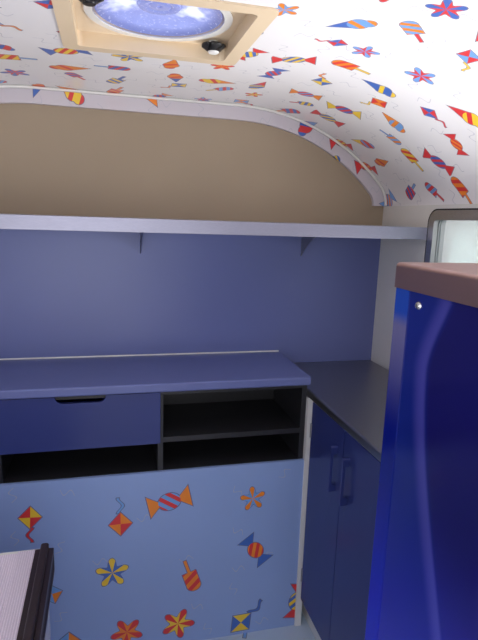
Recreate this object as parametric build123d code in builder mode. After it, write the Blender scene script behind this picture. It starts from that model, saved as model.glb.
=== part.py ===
"""Serving compartment of an ice cream van: the coachbuilt rear body, off its chassis, open where the cab joins."""

import os
from math import asin, cos, degrees, radians, sin, sqrt

from build123d import *

os.makedirs("parts", exist_ok=True)

# Driving dimensions in millimetres, angles in degrees. X runs across the body with the serving side at +X, Y runs
# to the rear, Z is up. The origin is on the floor that the body stands on, in the middle of its length and width.
body_length = 2640
body_width = 2000
side_thickness = 40
rear_thickness = 35
rear_edge_radius = 24
skirt_clearance = 10
headroom = 1900
cove_radius = 800
cove_turn = 46.7
cove_corner_radius = 120
lining_thickness = 4
rear_lining_thickness = 5
contact_gap = 0.3
unit_gap = 5
board = 18

# Floor
rail_height = 40
bearer_height = 40
deck_thickness = 25
covering_thickness = 3
rail_spacing = 860
rail_width = 60
section_wall = 4
bearer_count = 6
bearer_width = 60
bearer_end_inset = 70
chassis_bolt_radius = 6.5
chassis_bolt_pitch = 1500

# Wheel arches
axle_drop = 300
arch_radius = 410
arch_box_width = 230
arch_box_wall = 3
arch_clearance = 17
arch_to_cabinet = 41
arch_trim_width = 30
arch_trim_proud = 8

# Outer mouldings and lamps
rub_rail_level = 620
rub_rail_height = 26
rub_rail_proud = 10
gutter_height = 16
gutter_proud = 14
gutter_wall = 3
lamp_width = 104
lamp_height = 250
lamp_corner = 22
lamp_inset = 62
lamp_level = 560
lamp_depth = 14
lamp_split = 6
lamp_split_depth = 3

# Front portal, where the cab joins
portal_plate = 5
portal_leg = 40
portal_leg_wall = 4
portal_lip = 30
portal_bolt_radius = 4.5
portal_bolt_low = 400
portal_bolt_pitch = 1000

# Windows
window_height = 560
window_width = 800
window_radius = 25
window_below_eave = 36
window_ahead_of_shelf = 20
frame_bar = 14
frame_lap = 18
frame_lap_thickness = 3
groove_depth = 7
pane_thickness = 4
pane_pitch = 8
pane_overlap = 24

# Roof vent
vent_from_rear = 690
vent_width = 360
vent_length = 330
vent_corner = 12
vent_flange = 35
vent_flange_corner = 20
vent_flange_thickness = 4
vent_wall = 3
vent_plate_thickness = 4
vent_plate_inset = 6
ring_to_wall = 5
ring_width = 18
ring_lap = 4
ring_thickness = 4
curb_height = 20
curb_wall = 4
dome_clearance = 6
dome_wall = 4
dome_rise = 46
dome_skirt = 18
hub_radius = 46
hub_width = 10
hub_depth = 12
knob_inset = 34
near_knob_shift = 41
knob_radius = 21
knob_height = 14
knob_lobe_radius = 6
knob_lobes = 5
knob_cap_radius = 14
knob_cap_height = 9
knob_cap_edge_radius = 4
boss_radius = 13
boss_height = 5

# Rear shelf, valance and bead
shelf_below_eave = 76
shelf_depth = 320
lip_height = 42
lip_thickness = 3
lip_return = 18
bracket_count = 3
bracket_pitch = 620
bracket_thickness = 4
bracket_reach = 230
bracket_drop = 110
bracket_nose = 18
bracket_hollow = 0.42
valance_depth = 52
valance_thickness = 16
bead_width = 14
bead_depth = 9

# Rear cabinet, worktop and drawers
worktop_height = 980
worktop_thickness = 30
worktop_overhang = 29
worktop_edge_radius = 6
cabinet_depth = 323
base_panel_height = 670
base_panel_thickness = 12
recess_height = 98
bay_count = 3
drawer_front_thickness = 16
drawer_reveal = 4
drawer_side_gap = 8
drawer_head_gap = 36
drawer_back_gap = 25
drawer_wall = 12
scoop_width = 150
scoop_depth = 22
scoop_corner = 20

# Freezer
freezer_width = 700
freezer_length = 1130
freezer_to_wall = 8
freezer_to_cabinet = 547
freezer_rim_height = 740
freezer_wall = 55
freezer_back_wall = 85
freezer_base = 90
freezer_corner = 14
freezer_well_corner = 28
freezer_foot_radius = 20
freezer_foot_inset = 60
freezer_foot_to_arch = 86
lid_thickness = 50
lid_overhang = 12
lid_end_overhang = 6
lid_edge_radius = 6
hinge_strip = 34
hinge_strip_drop = 6
hinge_radius = 8
hinge_gap = 2
hinge_length = 90
hinge_inset = 180
mat_thickness = 5
mat_corner = 8
mat_margin = 40
mat_end_margin = 20
strip_width = 42
strip_height = 9
guard_width = 16
guard_height = 22
guard_inset = 8
guard_edge_radius = 5

# Serving cabinet and counter
counter_height = 930
counter_thickness = 30
counter_overhang = 24
counter_end_overhang = 5
counter_edge_radius = 8
serving_depth = 385
serving_length = 880
serving_post_depth = 20
serving_plinth_inset = 30
door_to_panel = 15
door_thickness = 16
door_reveal = 4
door_corner = 6
door_hinge_lap = 14
pull_from_edge = 40
pull_drop = 70
pull_length = 150
pull_width = 12
pull_reach = 22
pull_wall = 8
pull_foot = 20
pull_corner = 5

# Soft-serve machine
machine_width = 597
machine_depth = 730
machine_below_eave = 130
machine_foot = 125
machine_foot_radius = 19
machine_foot_inset = 55
spout_room = 270
cap_thickness = 42
cap_proud = 4
cap_corner = 10
cap_edge_radius = 7
panel_thickness = 5
panel_recess = 1.5
edge_strip = 45
side_panel_edge_radius = 4
panel_top_strip = 4
louvre_count = 9
louvre_width = 420
louvre_height = 9
louvre_pitch = 26
louvre_depth = 6
louvre_level = 150

# Dispensing head, draw lever and drip tray
head_below_cap = 384
head_height = 170
head_radius = 80
head_depth = 70
nozzle_width = 90
nozzle_lap = 10
nozzle_start = 21
nozzle_depth = 74
nozzle_corner = 12
spout_radius = 24
spout_drop = 40
spout_reach = 52
lever_width = 18
lever_thickness = 14
lever_corner = 5
lever_lap = 40
lever_rise = 90
grip_radius = 17
grip_length = 46
grip_edge_radius = 8
tray_below_head = 240
tray_width = 220
tray_depth = 175
tray_height = 26
tray_wall = 6
tray_floor = 3
tray_corner = 12

# Levels and places that follow from the sizes above
deck_low = rail_height + bearer_height
floor_top = deck_low + deck_thickness + covering_thickness
ceiling = floor_top + headroom
roof_top = ceiling + side_thickness
half_inner = body_width / 2 - side_thickness
half_outer = body_width / 2
front_end = -body_length / 2
rear_end = body_length / 2
shell_front = front_end + portal_plate
rear_inner = rear_end - rear_thickness
rear_lining_face = rear_inner - rear_lining_thickness

# The roof's section is a flat, a wide cove and a tight corner, all tangent, down to the upright side.
half_flat = half_inner - cove_corner_radius - (cove_radius - cove_corner_radius) * sin(radians(cove_turn))
eave = ceiling - cove_radius + (cove_radius - cove_corner_radius) * cos(radians(cove_turn))

# The wheel arches stop short of the rear unit, and the units on the floor stand clear of them.
cabinet_front = rear_lining_face - cabinet_depth
arch_outer = arch_radius + arch_box_wall
arch_reach = sqrt(arch_outer**2 - axle_drop**2)
arch_inner_x = half_inner - arch_box_width
axle_y = cabinet_front - base_panel_thickness - arch_to_cabinet - arch_reach
axle_z = floor_top - axle_drop
over_arch = axle_z + arch_outer + arch_clearance

# The units stand in order from the rear wall.
serving_rear = rear_lining_face
serving_front = serving_rear - serving_length
machine_rear = serving_front - spout_room
machine_front = machine_rear - machine_depth
freezer_rear = cabinet_front - freezer_to_cabinet
freezer_front = freezer_rear - freezer_length
shelf_front = rear_lining_face - shelf_depth
serving_window_front = shelf_front - window_ahead_of_shelf - window_width
offside_window_front = (freezer_front + freezer_rear - window_width) / 2


def level(height):
    """A plane that faces up, at a height."""
    return Plane.XY.offset(height)


def across(distance):
    """A plane that faces the cab, at a distance along the body. Its sketches read X, then Z."""
    return Plane.XZ.offset(-distance)


def alongside(distance):
    """A plane that faces the serving side, at a distance across the body. Its sketches read Y, then Z."""
    return Plane.YZ.offset(distance)


def outline(plane, low, high, radius=0.0):
    """A rectangle between two corners on a plane, with rounded corners where a radius is given."""
    with BuildSketch(plane) as sketch:
        with Locations(((low[0] + high[0]) / 2, (low[1] + high[1]) / 2)):
            if radius:
                RectangleRounded(high[0] - low[0], high[1] - low[1], radius)
            else:
                Rectangle(high[0] - low[0], high[1] - low[1])
    return sketch.sketch


def disc(plane, centre, radius):
    """A round outline on a plane."""
    with BuildSketch(plane) as sketch:
        with Locations(centre):
            Circle(radius)
    return sketch.sketch


def slab(plane, low, high, amount, radius=0.0, mode=Mode.ADD):
    """Adds a rectangle's extrusion off a plane to the piece being built, or cuts it out."""
    extrude(outline(plane, low, high, radius), amount=amount, mode=mode)


def post(plane, centre, radius, amount, mode=Mode.ADD):
    """Adds a round's extrusion off a plane to the piece being built, or cuts it out."""
    extrude(disc(plane, centre, radius), amount=amount, mode=mode)


def body_section(distance, grow, low):
    """The body's cross-section, grown outwards from the ceiling's face and closed at a low edge."""
    with BuildSketch(across(distance)) as section:
        with BuildLine():
            flat = Line((0, ceiling + grow), (half_flat, ceiling + grow))
            cove = JernArc(flat @ 1, flat % 1, cove_radius + grow, -cove_turn)
            corner = JernArc(cove @ 1, cove % 1, cove_corner_radius + grow, cove_turn - 90)
            side = Line(corner @ 1, (half_inner + grow, low))
            Line(side @ 1, (0, low))
            mirror(about=Plane.YZ)
        make_face()
    return section.sketch


def section_band(distance, inner_grow, outer_grow, low):
    """The ring between two growths of the body's cross-section, open at its low edge."""
    with BuildSketch(across(distance)) as band:
        add(body_section(distance, outer_grow, low))
        add(body_section(distance, inner_grow, low), mode=Mode.SUBTRACT)
    return band.sketch


def arch_cut(low_x, high_x, radius):
    """Cuts a wheel's round out of the piece being built, between two distances across the body."""
    post(alongside(low_x), (axle_y, axle_z), radius, high_x - low_x, Mode.SUBTRACT)


def finish(part, name):
    """Labels a finished piece and writes it."""
    part.part.label = name
    export_step(part.part, f"parts/{name}.step")


# Chassis rails: two lengths of folded channel, open to the middle, with the holes for the bolts that hold the body.
rail_end = rear_inner - contact_gap
rail_length = rail_end - shell_front
with BuildPart() as chassis_rails:
    for side in (-1, 1):
        web = side * (rail_spacing + rail_width) / 2
        throat = web - side * rail_width
        inside = web - side * section_wall
        slab(across(shell_front), (min(web, throat), 0), (max(web, throat), rail_height), -rail_length)
        slab(
            across(shell_front),
            (min(inside, throat), section_wall),
            (max(inside, throat), rail_height - section_wall),
            -rail_length,
            mode=Mode.SUBTRACT,
        )
        for bolt_y in (-chassis_bolt_pitch / 2, chassis_bolt_pitch / 2):
            bolt_point = (side * rail_spacing / 2, bolt_y)
            post(level(0), bolt_point, chassis_bolt_radius, section_wall, Mode.SUBTRACT)
finish(chassis_rails, "chassis_rails")

# Cross bearers: channels on the rails, evenly spaced, cut short where the wheel boxes stand.
bearer_pitch = (rear_inner - shell_front - 2 * bearer_end_inset) / (bearer_count - 1)
with BuildPart() as cross_bearers:
    for index in range(bearer_count):
        bearer_y = shell_front + bearer_end_inset + index * bearer_pitch
        beside_wheel = abs(bearer_y - axle_y) < arch_radius
        reach = half_inner - contact_gap - (arch_box_width if beside_wheel else 0)
        low_y = bearer_y - bearer_width / 2
        high_y = bearer_y + bearer_width / 2
        slab(alongside(-reach), (low_y, rail_height), (high_y, deck_low), 2 * reach)
        slab(
            alongside(-reach),
            (low_y + section_wall, rail_height + section_wall),
            (high_y, deck_low - section_wall),
            2 * reach,
            mode=Mode.SUBTRACT,
        )
finish(cross_bearers, "cross_bearers")

# Floor deck and its printed safety sheet: both lie between the sides, cut out round the wheel boxes.
floor_layers = (
    ("floor_deck", deck_low, deck_thickness, rear_inner),
    ("floor_covering", floor_top - covering_thickness, covering_thickness, rear_lining_face),
)
for layer_name, layer_low, layer_thickness, layer_rear in floor_layers:
    with BuildPart() as layer:
        slab(level(layer_low), (-half_inner, shell_front), (half_inner, layer_rear), layer_thickness)
        arch_cut(arch_inner_x - contact_gap, half_inner, arch_outer + contact_gap)
        arch_cut(-half_inner, contact_gap - arch_inner_x, arch_outer + contact_gap)
    finish(layer, layer_name)

# Wheel boxes: half drums of sheet metal that stand in the deck's cut-outs over the wheels.
drum_length = arch_box_width - contact_gap
with BuildPart() as wheel_boxes:
    for side in (-1, 1):
        start = alongside(side * (half_inner - contact_gap))
        post(start, (axle_y, axle_z), arch_outer, -side * drum_length)
        post(start, (axle_y, axle_z), arch_radius, -side * (drum_length - arch_box_wall), Mode.SUBTRACT)
    split(bisect_by=level(deck_low), keep=Keep.TOP)
finish(wheel_boxes, "wheel_boxes")

# Front portal: an aluminium angle round the open end, with a sill over the floor's edge.
portal_bolt_x = half_inner - (portal_lip + portal_leg_wall) / 2
with BuildPart() as front_portal:
    extrude(body_section(front_end, side_thickness, skirt_clearance), amount=-portal_plate)
    extrude(body_section(front_end, -portal_lip, floor_top), amount=-portal_plate, mode=Mode.SUBTRACT)
    extrude(section_band(shell_front, -portal_leg_wall, 0, floor_top), amount=-portal_leg)
    for side in (-1, 1):
        for bolt_z in (portal_bolt_low, portal_bolt_low + portal_bolt_pitch):
            bolt_point = (side * portal_bolt_x, bolt_z)
            post(across(front_end), bolt_point, portal_bolt_radius, -portal_plate, Mode.SUBTRACT)
finish(front_portal, "front_portal")

# Windows in the sides: name, wall, side, front edge along the body, and whether its front pane is slid open.
window_high = eave - window_below_eave
window_low = window_high - window_height
windows = (
    ("serving_window", "wall_nearside", 1, serving_window_front, True),
    ("offside_window", "wall_offside", -1, offside_window_front, False),
)


def window_slab(distance, front, inset, amount, mode=Mode.ADD):
    """Adds or cuts the window's outline, drawn in from the hole in the wall by an inset."""
    low = (front + inset, window_low + inset)
    high = (front + window_width - inset, window_high - inset)
    slab(alongside(distance), low, high, amount, window_radius - inset, mode)


for window_name, wall_name, side, window_front, slid_open in windows:
    # Side: one sandwich panel, with the window and the wheel arch cut out.
    with BuildPart() as wall:
        slab(alongside(side * half_inner), (shell_front, skirt_clearance), (rear_inner, eave), side * side_thickness)
        window_slab(side * half_inner, window_front, 0, side * side_thickness, Mode.SUBTRACT)
        post(alongside(side * half_inner), (axle_y, axle_z), arch_radius, side * side_thickness, Mode.SUBTRACT)
    finish(wall, wall_name)

    # Window frame: an aluminium section that laps the wall on both faces, with a groove for each pane.
    inner_face = half_inner - frame_lap_thickness
    frame_depth = side_thickness + 2 * frame_lap_thickness
    first_groove = half_inner + (side_thickness - pane_pitch - pane_thickness) / 2
    grooves = (first_groove, first_groove + pane_pitch)
    with BuildPart() as frame:
        window_slab(side * inner_face, window_front, 0, side * frame_depth)
        for lap_start in (inner_face, half_outer):
            window_slab(side * lap_start, window_front, -frame_lap, side * frame_lap_thickness)
        window_slab(side * inner_face, window_front, frame_bar, side * frame_depth, Mode.SUBTRACT)
        for groove in grooves:
            groove_width = pane_thickness + 2 * contact_gap
            groove_inset = frame_bar - groove_depth
            window_slab(
                side * (groove - contact_gap), window_front, groove_inset, side * groove_width, Mode.SUBTRACT
            )
    finish(frame, f"{window_name}_frame")

    # Panes: two sheets of toughened glass, one in each groove, the inner one slid back where it stands open.
    pane_inset = frame_bar - groove_depth + contact_gap
    pane_width = (window_width - 2 * pane_inset + pane_overlap) / 2
    rear_pane = window_front + window_width - pane_inset - pane_width
    front_pane = window_front + pane_inset
    with BuildPart() as panes:
        for groove, pane_front in zip(grooves, (rear_pane if slid_open else front_pane, rear_pane)):
            low = (pane_front, window_low + pane_inset)
            high = (pane_front + pane_width, window_high - pane_inset)
            slab(alongside(side * groove), low, high, side * pane_thickness, window_radius - pane_inset)
    finish(panes, f"{window_name}_panes")

# Rear wall: the full section, its outer edge rounded, with a pocket for each lamp.
lamp_points = [side * (half_outer - lamp_inset - lamp_width / 2) for side in (-1, 1)]
with BuildPart() as wall_rear:
    extrude(body_section(rear_inner, side_thickness, skirt_clearance), amount=-rear_thickness)
    fillet(wall_rear.faces().sort_by(Axis.Y)[-1].outer_wire().edges(), rear_edge_radius)
    for lamp_x in lamp_points:
        slab(
            across(rear_end - lamp_depth),
            (lamp_x - lamp_width / 2 - contact_gap, lamp_level - contact_gap),
            (lamp_x + lamp_width / 2 + contact_gap, lamp_level + lamp_height + contact_gap),
            -lamp_depth,
            lamp_corner + contact_gap,
            Mode.SUBTRACT,
        )
finish(wall_rear, "wall_rear")

# Rear lamps: one moulded cluster in each pocket, flush with the wall, its lens parted in three by grooves.
with BuildPart() as rear_lamps:
    for lamp_x in lamp_points:
        low = (lamp_x - lamp_width / 2, lamp_level)
        high = (lamp_x + lamp_width / 2, lamp_level + lamp_height)
        slab(across(rear_end - lamp_depth), low, high, -lamp_depth, lamp_corner)
        for third in (1, 2):
            groove_z = lamp_level + third * lamp_height / 3
            slab(
                across(rear_end),
                (lamp_x - lamp_width / 2, groove_z - lamp_split / 2),
                (lamp_x + lamp_width / 2, groove_z + lamp_split / 2),
                lamp_split_depth,
                mode=Mode.SUBTRACT,
            )
finish(rear_lamps, "rear_lamps")

# Side mouldings: a rub rail and a rain gutter along each side.
with BuildPart() as side_mouldings:
    for side in (-1, 1):
        low_x, high_x = sorted((side * half_outer, side * (half_outer + rub_rail_proud)))
        slab(across(shell_front), (low_x, rub_rail_level), (high_x, rub_rail_level + rub_rail_height), -rail_length)
        low_x, high_x = sorted((side * half_outer, side * (half_outer + gutter_proud)))
        slab(across(shell_front), (low_x, eave - gutter_height), (high_x, eave), -rail_length)
        low_x, high_x = sorted((side * (half_outer + gutter_wall), side * (half_outer + gutter_proud - gutter_wall)))
        slab(
            across(shell_front),
            (low_x, eave - gutter_height + gutter_wall),
            (high_x, eave),
            -rail_length,
            mode=Mode.SUBTRACT,
        )
finish(side_mouldings, "side_mouldings")

# Arch trims: a rubber lip round each wheel arch.
with BuildPart() as arch_trims:
    for side in (-1, 1):
        face = alongside(side * half_outer)
        post(face, (axle_y, axle_z), arch_radius + arch_trim_width, side * arch_trim_proud)
        post(face, (axle_y, axle_z), arch_radius, side * arch_trim_proud, Mode.SUBTRACT)
    split(bisect_by=level(skirt_clearance), keep=Keep.TOP)
finish(arch_trims, "arch_trims")

# Roof vent: its place, its round sizes and the level of its recessed plate.
vent_centre = (0, rear_lining_face - vent_from_rear)
ring_radius = min(vent_width, vent_length) / 2 - ring_to_wall
ring_bore = ring_radius - ring_width
vent_bore_radius = ring_bore + ring_lap
plate_high = roof_top - vent_plate_inset
plate_low = plate_high - vent_plate_thickness


def vent_slab(height, grow, radius, amount, mode=Mode.ADD):
    """Adds or cuts the vent opening's outline, grown outwards."""
    half_x = vent_width / 2 + grow
    half_y = vent_length / 2 + grow
    low = (vent_centre[0] - half_x, vent_centre[1] - half_y)
    high = (vent_centre[0] + half_x, vent_centre[1] + half_y)
    slab(level(height), low, high, amount, radius, mode)


# Roof: the printed lining and the coved sandwich moulding over it, both cut out for the vent.
vent_hole_grow = vent_wall + contact_gap
roof_layers = (("roof_lining", 0, lining_thickness), ("roof_shell", lining_thickness, side_thickness))
for layer_name, inner_grow, outer_grow in roof_layers:
    with BuildPart() as layer:
        extrude(section_band(shell_front, inner_grow, outer_grow, floor_top), amount=shell_front - rear_inner)
        split(bisect_by=level(eave), keep=Keep.TOP)
        vent_slab(ceiling, vent_hole_grow, vent_corner + vent_hole_grow, side_thickness, Mode.SUBTRACT)
    finish(layer, layer_name)

# Vent frame: flange under the ceiling, walls up through the roof, and the recessed plate with its bore.
flange_low = ceiling - vent_flange_thickness
with BuildPart() as vent_frame:
    vent_slab(flange_low, vent_flange, vent_flange_corner, vent_flange_thickness)
    vent_slab(ceiling, vent_wall, vent_corner + vent_wall, plate_high - ceiling)
    vent_slab(flange_low, 0, vent_corner, plate_low - flange_low, Mode.SUBTRACT)
    post(level(plate_low), vent_centre, vent_bore_radius, vent_plate_thickness, Mode.SUBTRACT)
finish(vent_frame, "vent_frame")

# Vent curb: outer flange on the roof, with the upright collar that the dome closes over.
curb_top = roof_top + vent_flange_thickness + curb_height
with BuildPart() as vent_curb:
    vent_slab(roof_top, vent_flange, vent_flange_corner, vent_flange_thickness)
    post(level(plate_high), vent_centre, vent_bore_radius + curb_wall, curb_top - plate_high)
    post(level(plate_high), vent_centre, vent_bore_radius, curb_top - plate_high, Mode.SUBTRACT)
finish(vent_curb, "vent_curb")

# Vent ring: the white clamping ring under the plate, with the bosses that the star knobs screw into. The knob
# nearer the cab stands in from its corner, beside the ring.
knob_x = vent_width / 2 - knob_inset
knob_y = vent_length / 2 - knob_inset
knob_points = (
    (vent_centre[0] - knob_x, vent_centre[1] - knob_y + near_knob_shift),
    (vent_centre[0] + knob_x, vent_centre[1] + knob_y),
)
with BuildPart() as vent_ring:
    post(level(plate_low), vent_centre, ring_radius, -ring_thickness)
    post(level(plate_low), vent_centre, ring_bore, -ring_thickness, Mode.SUBTRACT)
    for point in knob_points:
        post(level(plate_low), point, boss_radius, -boss_height)
finish(vent_ring, "vent_ring")

# Star knobs: two lobed black hand knobs under the bosses, each with a round white cap.
knob_high = plate_low - boss_height
with BuildPart() as vent_knobs:
    for point in knob_points:
        with BuildSketch(level(knob_high)):
            with Locations(point):
                Circle(knob_radius - knob_lobe_radius / 2)
                with PolarLocations(knob_radius - knob_lobe_radius, knob_lobes):
                    Circle(knob_lobe_radius)
        extrude(amount=-knob_height)
finish(vent_knobs, "vent_knobs")

with BuildPart() as vent_knob_caps:
    for point in knob_points:
        post(level(knob_high - knob_height), point, knob_cap_radius, -knob_cap_height)
    fillet(vent_knob_caps.edges().group_by(Axis.Z)[0], knob_cap_edge_radius)
finish(vent_knob_caps, "vent_knob_caps")


def cap_radius(reach):
    """The radius of a round cap that rises by the dome's rise over a reach."""
    return (reach**2 + dome_rise**2) / (2 * dome_rise)


# Vent dome: a shallow translucent cap with a turned-down skirt outside the collar and a hub ring inside.
skirt_bore = vent_bore_radius + curb_wall + dome_clearance
dome_edge = skirt_bore + dome_wall
dome_reach = vent_bore_radius - dome_wall
dome_low = curb_top + contact_gap
dome_top = dome_low + dome_rise
outer_radius = cap_radius(dome_edge)
under_radius = cap_radius(dome_reach)
with BuildPart() as vent_dome:
    with BuildSketch(Plane(origin=(*vent_centre, 0), x_dir=(1, 0, 0), z_dir=(0, -1, 0))):
        with BuildLine():
            crown = JernArc((0, dome_top + dome_wall), (1, 0), outer_radius, -degrees(asin(dome_edge / outer_radius)))
            under = JernArc((0, dome_top), (1, 0), under_radius, -degrees(asin(dome_reach / under_radius)))
            Line(crown @ 0, under @ 0)
            Polyline(
                crown @ 1,
                (dome_edge, dome_low - dome_skirt),
                (skirt_bore, dome_low - dome_skirt),
                (skirt_bore, dome_low),
                under @ 1,
            )
        make_face()
    revolve(axis=Axis((*vent_centre, 0), (0, 0, 1)))
    post(level(dome_top), vent_centre, hub_radius, -hub_depth)
    post(
        level(dome_top - dome_wall), vent_centre, hub_radius - hub_width, dome_wall - hub_depth, Mode.SUBTRACT
    )
finish(vent_dome, "vent_dome")

# Rear shelf across the wall, with a steel lip and gusset brackets.
shelf_top = eave - shelf_below_eave
shelf_low = shelf_top - board
half_shelf = half_inner - unit_gap
with BuildPart() as rear_shelf:
    slab(level(shelf_low), (-half_shelf, shelf_front), (half_shelf, rear_lining_face), board)
finish(rear_shelf, "rear_shelf")

with BuildPart() as shelf_lip:
    with BuildSketch(alongside(-half_shelf)):
        with BuildLine():
            Polyline(
                (shelf_front, shelf_top),
                (shelf_front - lip_thickness, shelf_top),
                (shelf_front - lip_thickness, shelf_top - lip_height),
                (shelf_front + lip_return, shelf_top - lip_height),
                (shelf_front + lip_return, shelf_top - lip_height + lip_thickness),
                (shelf_front, shelf_top - lip_height + lip_thickness),
                close=True,
            )
        make_face()
    extrude(amount=2 * half_shelf)
finish(shelf_lip, "shelf_lip")

with BuildPart() as shelf_brackets:
    for index in range(bracket_count):
        bracket_x = (index - (bracket_count - 1) / 2) * bracket_pitch
        with BuildSketch(alongside(bracket_x - bracket_thickness / 2)):
            with BuildLine():
                foot = Line((rear_lining_face, shelf_low - bracket_drop), (rear_lining_face, shelf_low))
                top = Line(foot @ 1, (rear_lining_face - bracket_reach, shelf_low))
                nose = Line(top @ 1, (rear_lining_face - bracket_reach, shelf_low - bracket_nose))
                hollow_y = rear_lining_face - bracket_reach * bracket_hollow
                ThreePointArc(nose @ 1, (hollow_y, shelf_low - bracket_drop * bracket_hollow), foot @ 0)
            make_face()
        extrude(amount=bracket_thickness)
finish(shelf_brackets, "shelf_brackets")

# Rear linings: a beige panel that starts behind the shelf and a blue splashback below it.
with BuildPart() as rear_lining:
    extrude(body_section(rear_lining_face, 0, shelf_low), amount=-rear_lining_thickness)
finish(rear_lining, "rear_lining")

with BuildPart() as rear_splashback:
    slab(across(rear_lining_face), (-half_inner, floor_top), (half_inner, shelf_low), -rear_lining_thickness)
finish(rear_splashback, "rear_splashback")

# Valance and bead: the printed sheet turned down at the rear, and the strip that covers its joint.
valance_front = rear_lining_face - valance_thickness
bands = (
    ("rear_valance", valance_front, valance_thickness, valance_depth),
    ("lining_bead", valance_front - bead_width, bead_width, bead_depth),
)
for band_name, band_front, band_width, band_depth in bands:
    with BuildPart() as band:
        extrude(section_band(band_front, -band_depth, 0, floor_top), amount=-band_width)
        split(bisect_by=level(eave), keep=Keep.TOP)
    finish(band, band_name)

# Serving side: its front line, which the rear unit's counter also ends at.
serving_right = half_inner - unit_gap
serving_front_x = serving_right - serving_depth

# Rear cabinet: a board carcass in three bays, with drawer bays above, a row of open recesses, and a closed base.
cabinet_left = -half_inner + unit_gap
cabinet_right = serving_front_x - counter_overhang
worktop_top = floor_top + worktop_height
cabinet_top = worktop_top - worktop_thickness
recess_low = floor_top + base_panel_height
recess_high = recess_low + recess_height
bay_low = recess_high + board
bay_high = cabinet_top - board
bay_pitch = (cabinet_right - cabinet_left - board) / bay_count
bay_width = bay_pitch - board
bay_depth = cabinet_depth - board
with BuildPart() as rear_cabinet:
    slab(
        level(floor_top),
        (cabinet_left, cabinet_front),
        (cabinet_right, rear_lining_face),
        cabinet_top - floor_top,
    )
    for index in range(bay_count):
        bay_left = cabinet_left + board + index * bay_pitch
        for low_z, high_z in ((floor_top + board, recess_low - board), (recess_low, recess_high), (bay_low, bay_high)):
            slab(
                across(cabinet_front),
                (bay_left, low_z),
                (bay_left + bay_width, high_z),
                -bay_depth,
                mode=Mode.SUBTRACT,
            )
finish(rear_cabinet, "rear_cabinet")

worktop_front = cabinet_front - worktop_overhang
with BuildPart() as rear_worktop:
    slab(level(cabinet_top), (cabinet_left, worktop_front), (cabinet_right, rear_lining_face), worktop_thickness)
    fillet(rear_worktop.edges().filter_by(Axis.X).group_by(Axis.Y)[0], worktop_edge_radius)
finish(rear_worktop, "rear_worktop")

with BuildPart() as rear_base_panel:
    slab(across(cabinet_front), (cabinet_left, floor_top), (cabinet_right, recess_low), base_panel_thickness)
finish(rear_base_panel, "rear_base_panel")

# Drawers in the left and middle bays: an open box behind an overlaid front with a finger scoop.
front_lap = (board - drawer_reveal) / 2
front_back = cabinet_front - contact_gap
front_low = bay_low - board + drawer_reveal
front_high = cabinet_top - drawer_reveal
box_low = bay_low + contact_gap
box_height = bay_high - drawer_head_gap - box_low
box_rear = cabinet_front + bay_depth - drawer_back_gap
for drawer_name, bay in (("drawer_left", 0), ("drawer_middle", 1)):
    bay_left = cabinet_left + board + bay * bay_pitch
    bay_right = bay_left + bay_width
    bay_middle = (bay_left + bay_right) / 2
    with BuildPart() as drawer:
        slab(
            across(front_back),
            (bay_left - front_lap, front_low),
            (bay_right + front_lap, front_high),
            drawer_front_thickness,
        )
        slab(
            level(box_low),
            (bay_left + drawer_side_gap, front_back),
            (bay_right - drawer_side_gap, box_rear),
            box_height,
        )
        slab(
            level(box_low + drawer_wall),
            (bay_left + drawer_side_gap + drawer_wall, front_back),
            (bay_right - drawer_side_gap - drawer_wall, box_rear - drawer_wall),
            box_height,
            mode=Mode.SUBTRACT,
        )
        slab(
            across(front_back),
            (bay_middle - scoop_width / 2, front_high - scoop_depth),
            (bay_middle + scoop_width / 2, front_high + scoop_depth),
            drawer_front_thickness,
            scoop_corner,
            Mode.SUBTRACT,
        )
    finish(drawer, drawer_name)

# Freezer: a chest on feet under the offside window, its well open to the top, with a hinge rail along its back.
freezer_left = -half_inner + freezer_to_wall
freezer_right = freezer_left + freezer_width
freezer_rim = floor_top + freezer_rim_height
well_low = over_arch + freezer_base
rear_foot_y = axle_y - arch_reach - freezer_foot_to_arch - freezer_foot_radius
with BuildPart() as freezer_body:
    slab(
        level(over_arch),
        (freezer_left, freezer_front),
        (freezer_right, freezer_rear),
        freezer_rim - over_arch,
        freezer_corner,
    )
    slab(
        level(well_low),
        (freezer_left + freezer_back_wall, freezer_front + freezer_wall),
        (freezer_right - freezer_wall, freezer_rear - freezer_wall),
        freezer_rim - well_low,
        freezer_well_corner,
        Mode.SUBTRACT,
    )
    for foot_x in (freezer_left + freezer_foot_inset, freezer_right - freezer_foot_inset):
        for foot_y in (freezer_front + freezer_foot_inset, rear_foot_y):
            post(level(floor_top), (foot_x, foot_y), freezer_foot_radius, over_arch - floor_top)
finish(freezer_body, "freezer_body")

hinge_x = freezer_left + hinge_strip + hinge_gap + hinge_radius
lid_top = freezer_rim + lid_thickness
hinge_z = lid_top - hinge_radius
with BuildPart() as freezer_back_rail:
    slab(
        level(freezer_rim),
        (freezer_left, freezer_front),
        (freezer_left + hinge_strip, freezer_rear),
        lid_thickness - hinge_strip_drop,
    )
    for hinge_y in (freezer_front + hinge_inset, freezer_rear - hinge_inset):
        hinge_start = hinge_y - hinge_length / 2
        post(across(hinge_start), (hinge_x, hinge_z), hinge_radius, -hinge_length)
        slab(
            across(hinge_start),
            (freezer_left + hinge_strip, hinge_z - hinge_radius / 2),
            (hinge_x, hinge_z + hinge_radius / 2),
            -hinge_length,
        )
finish(freezer_back_rail, "freezer_back_rail")

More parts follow.
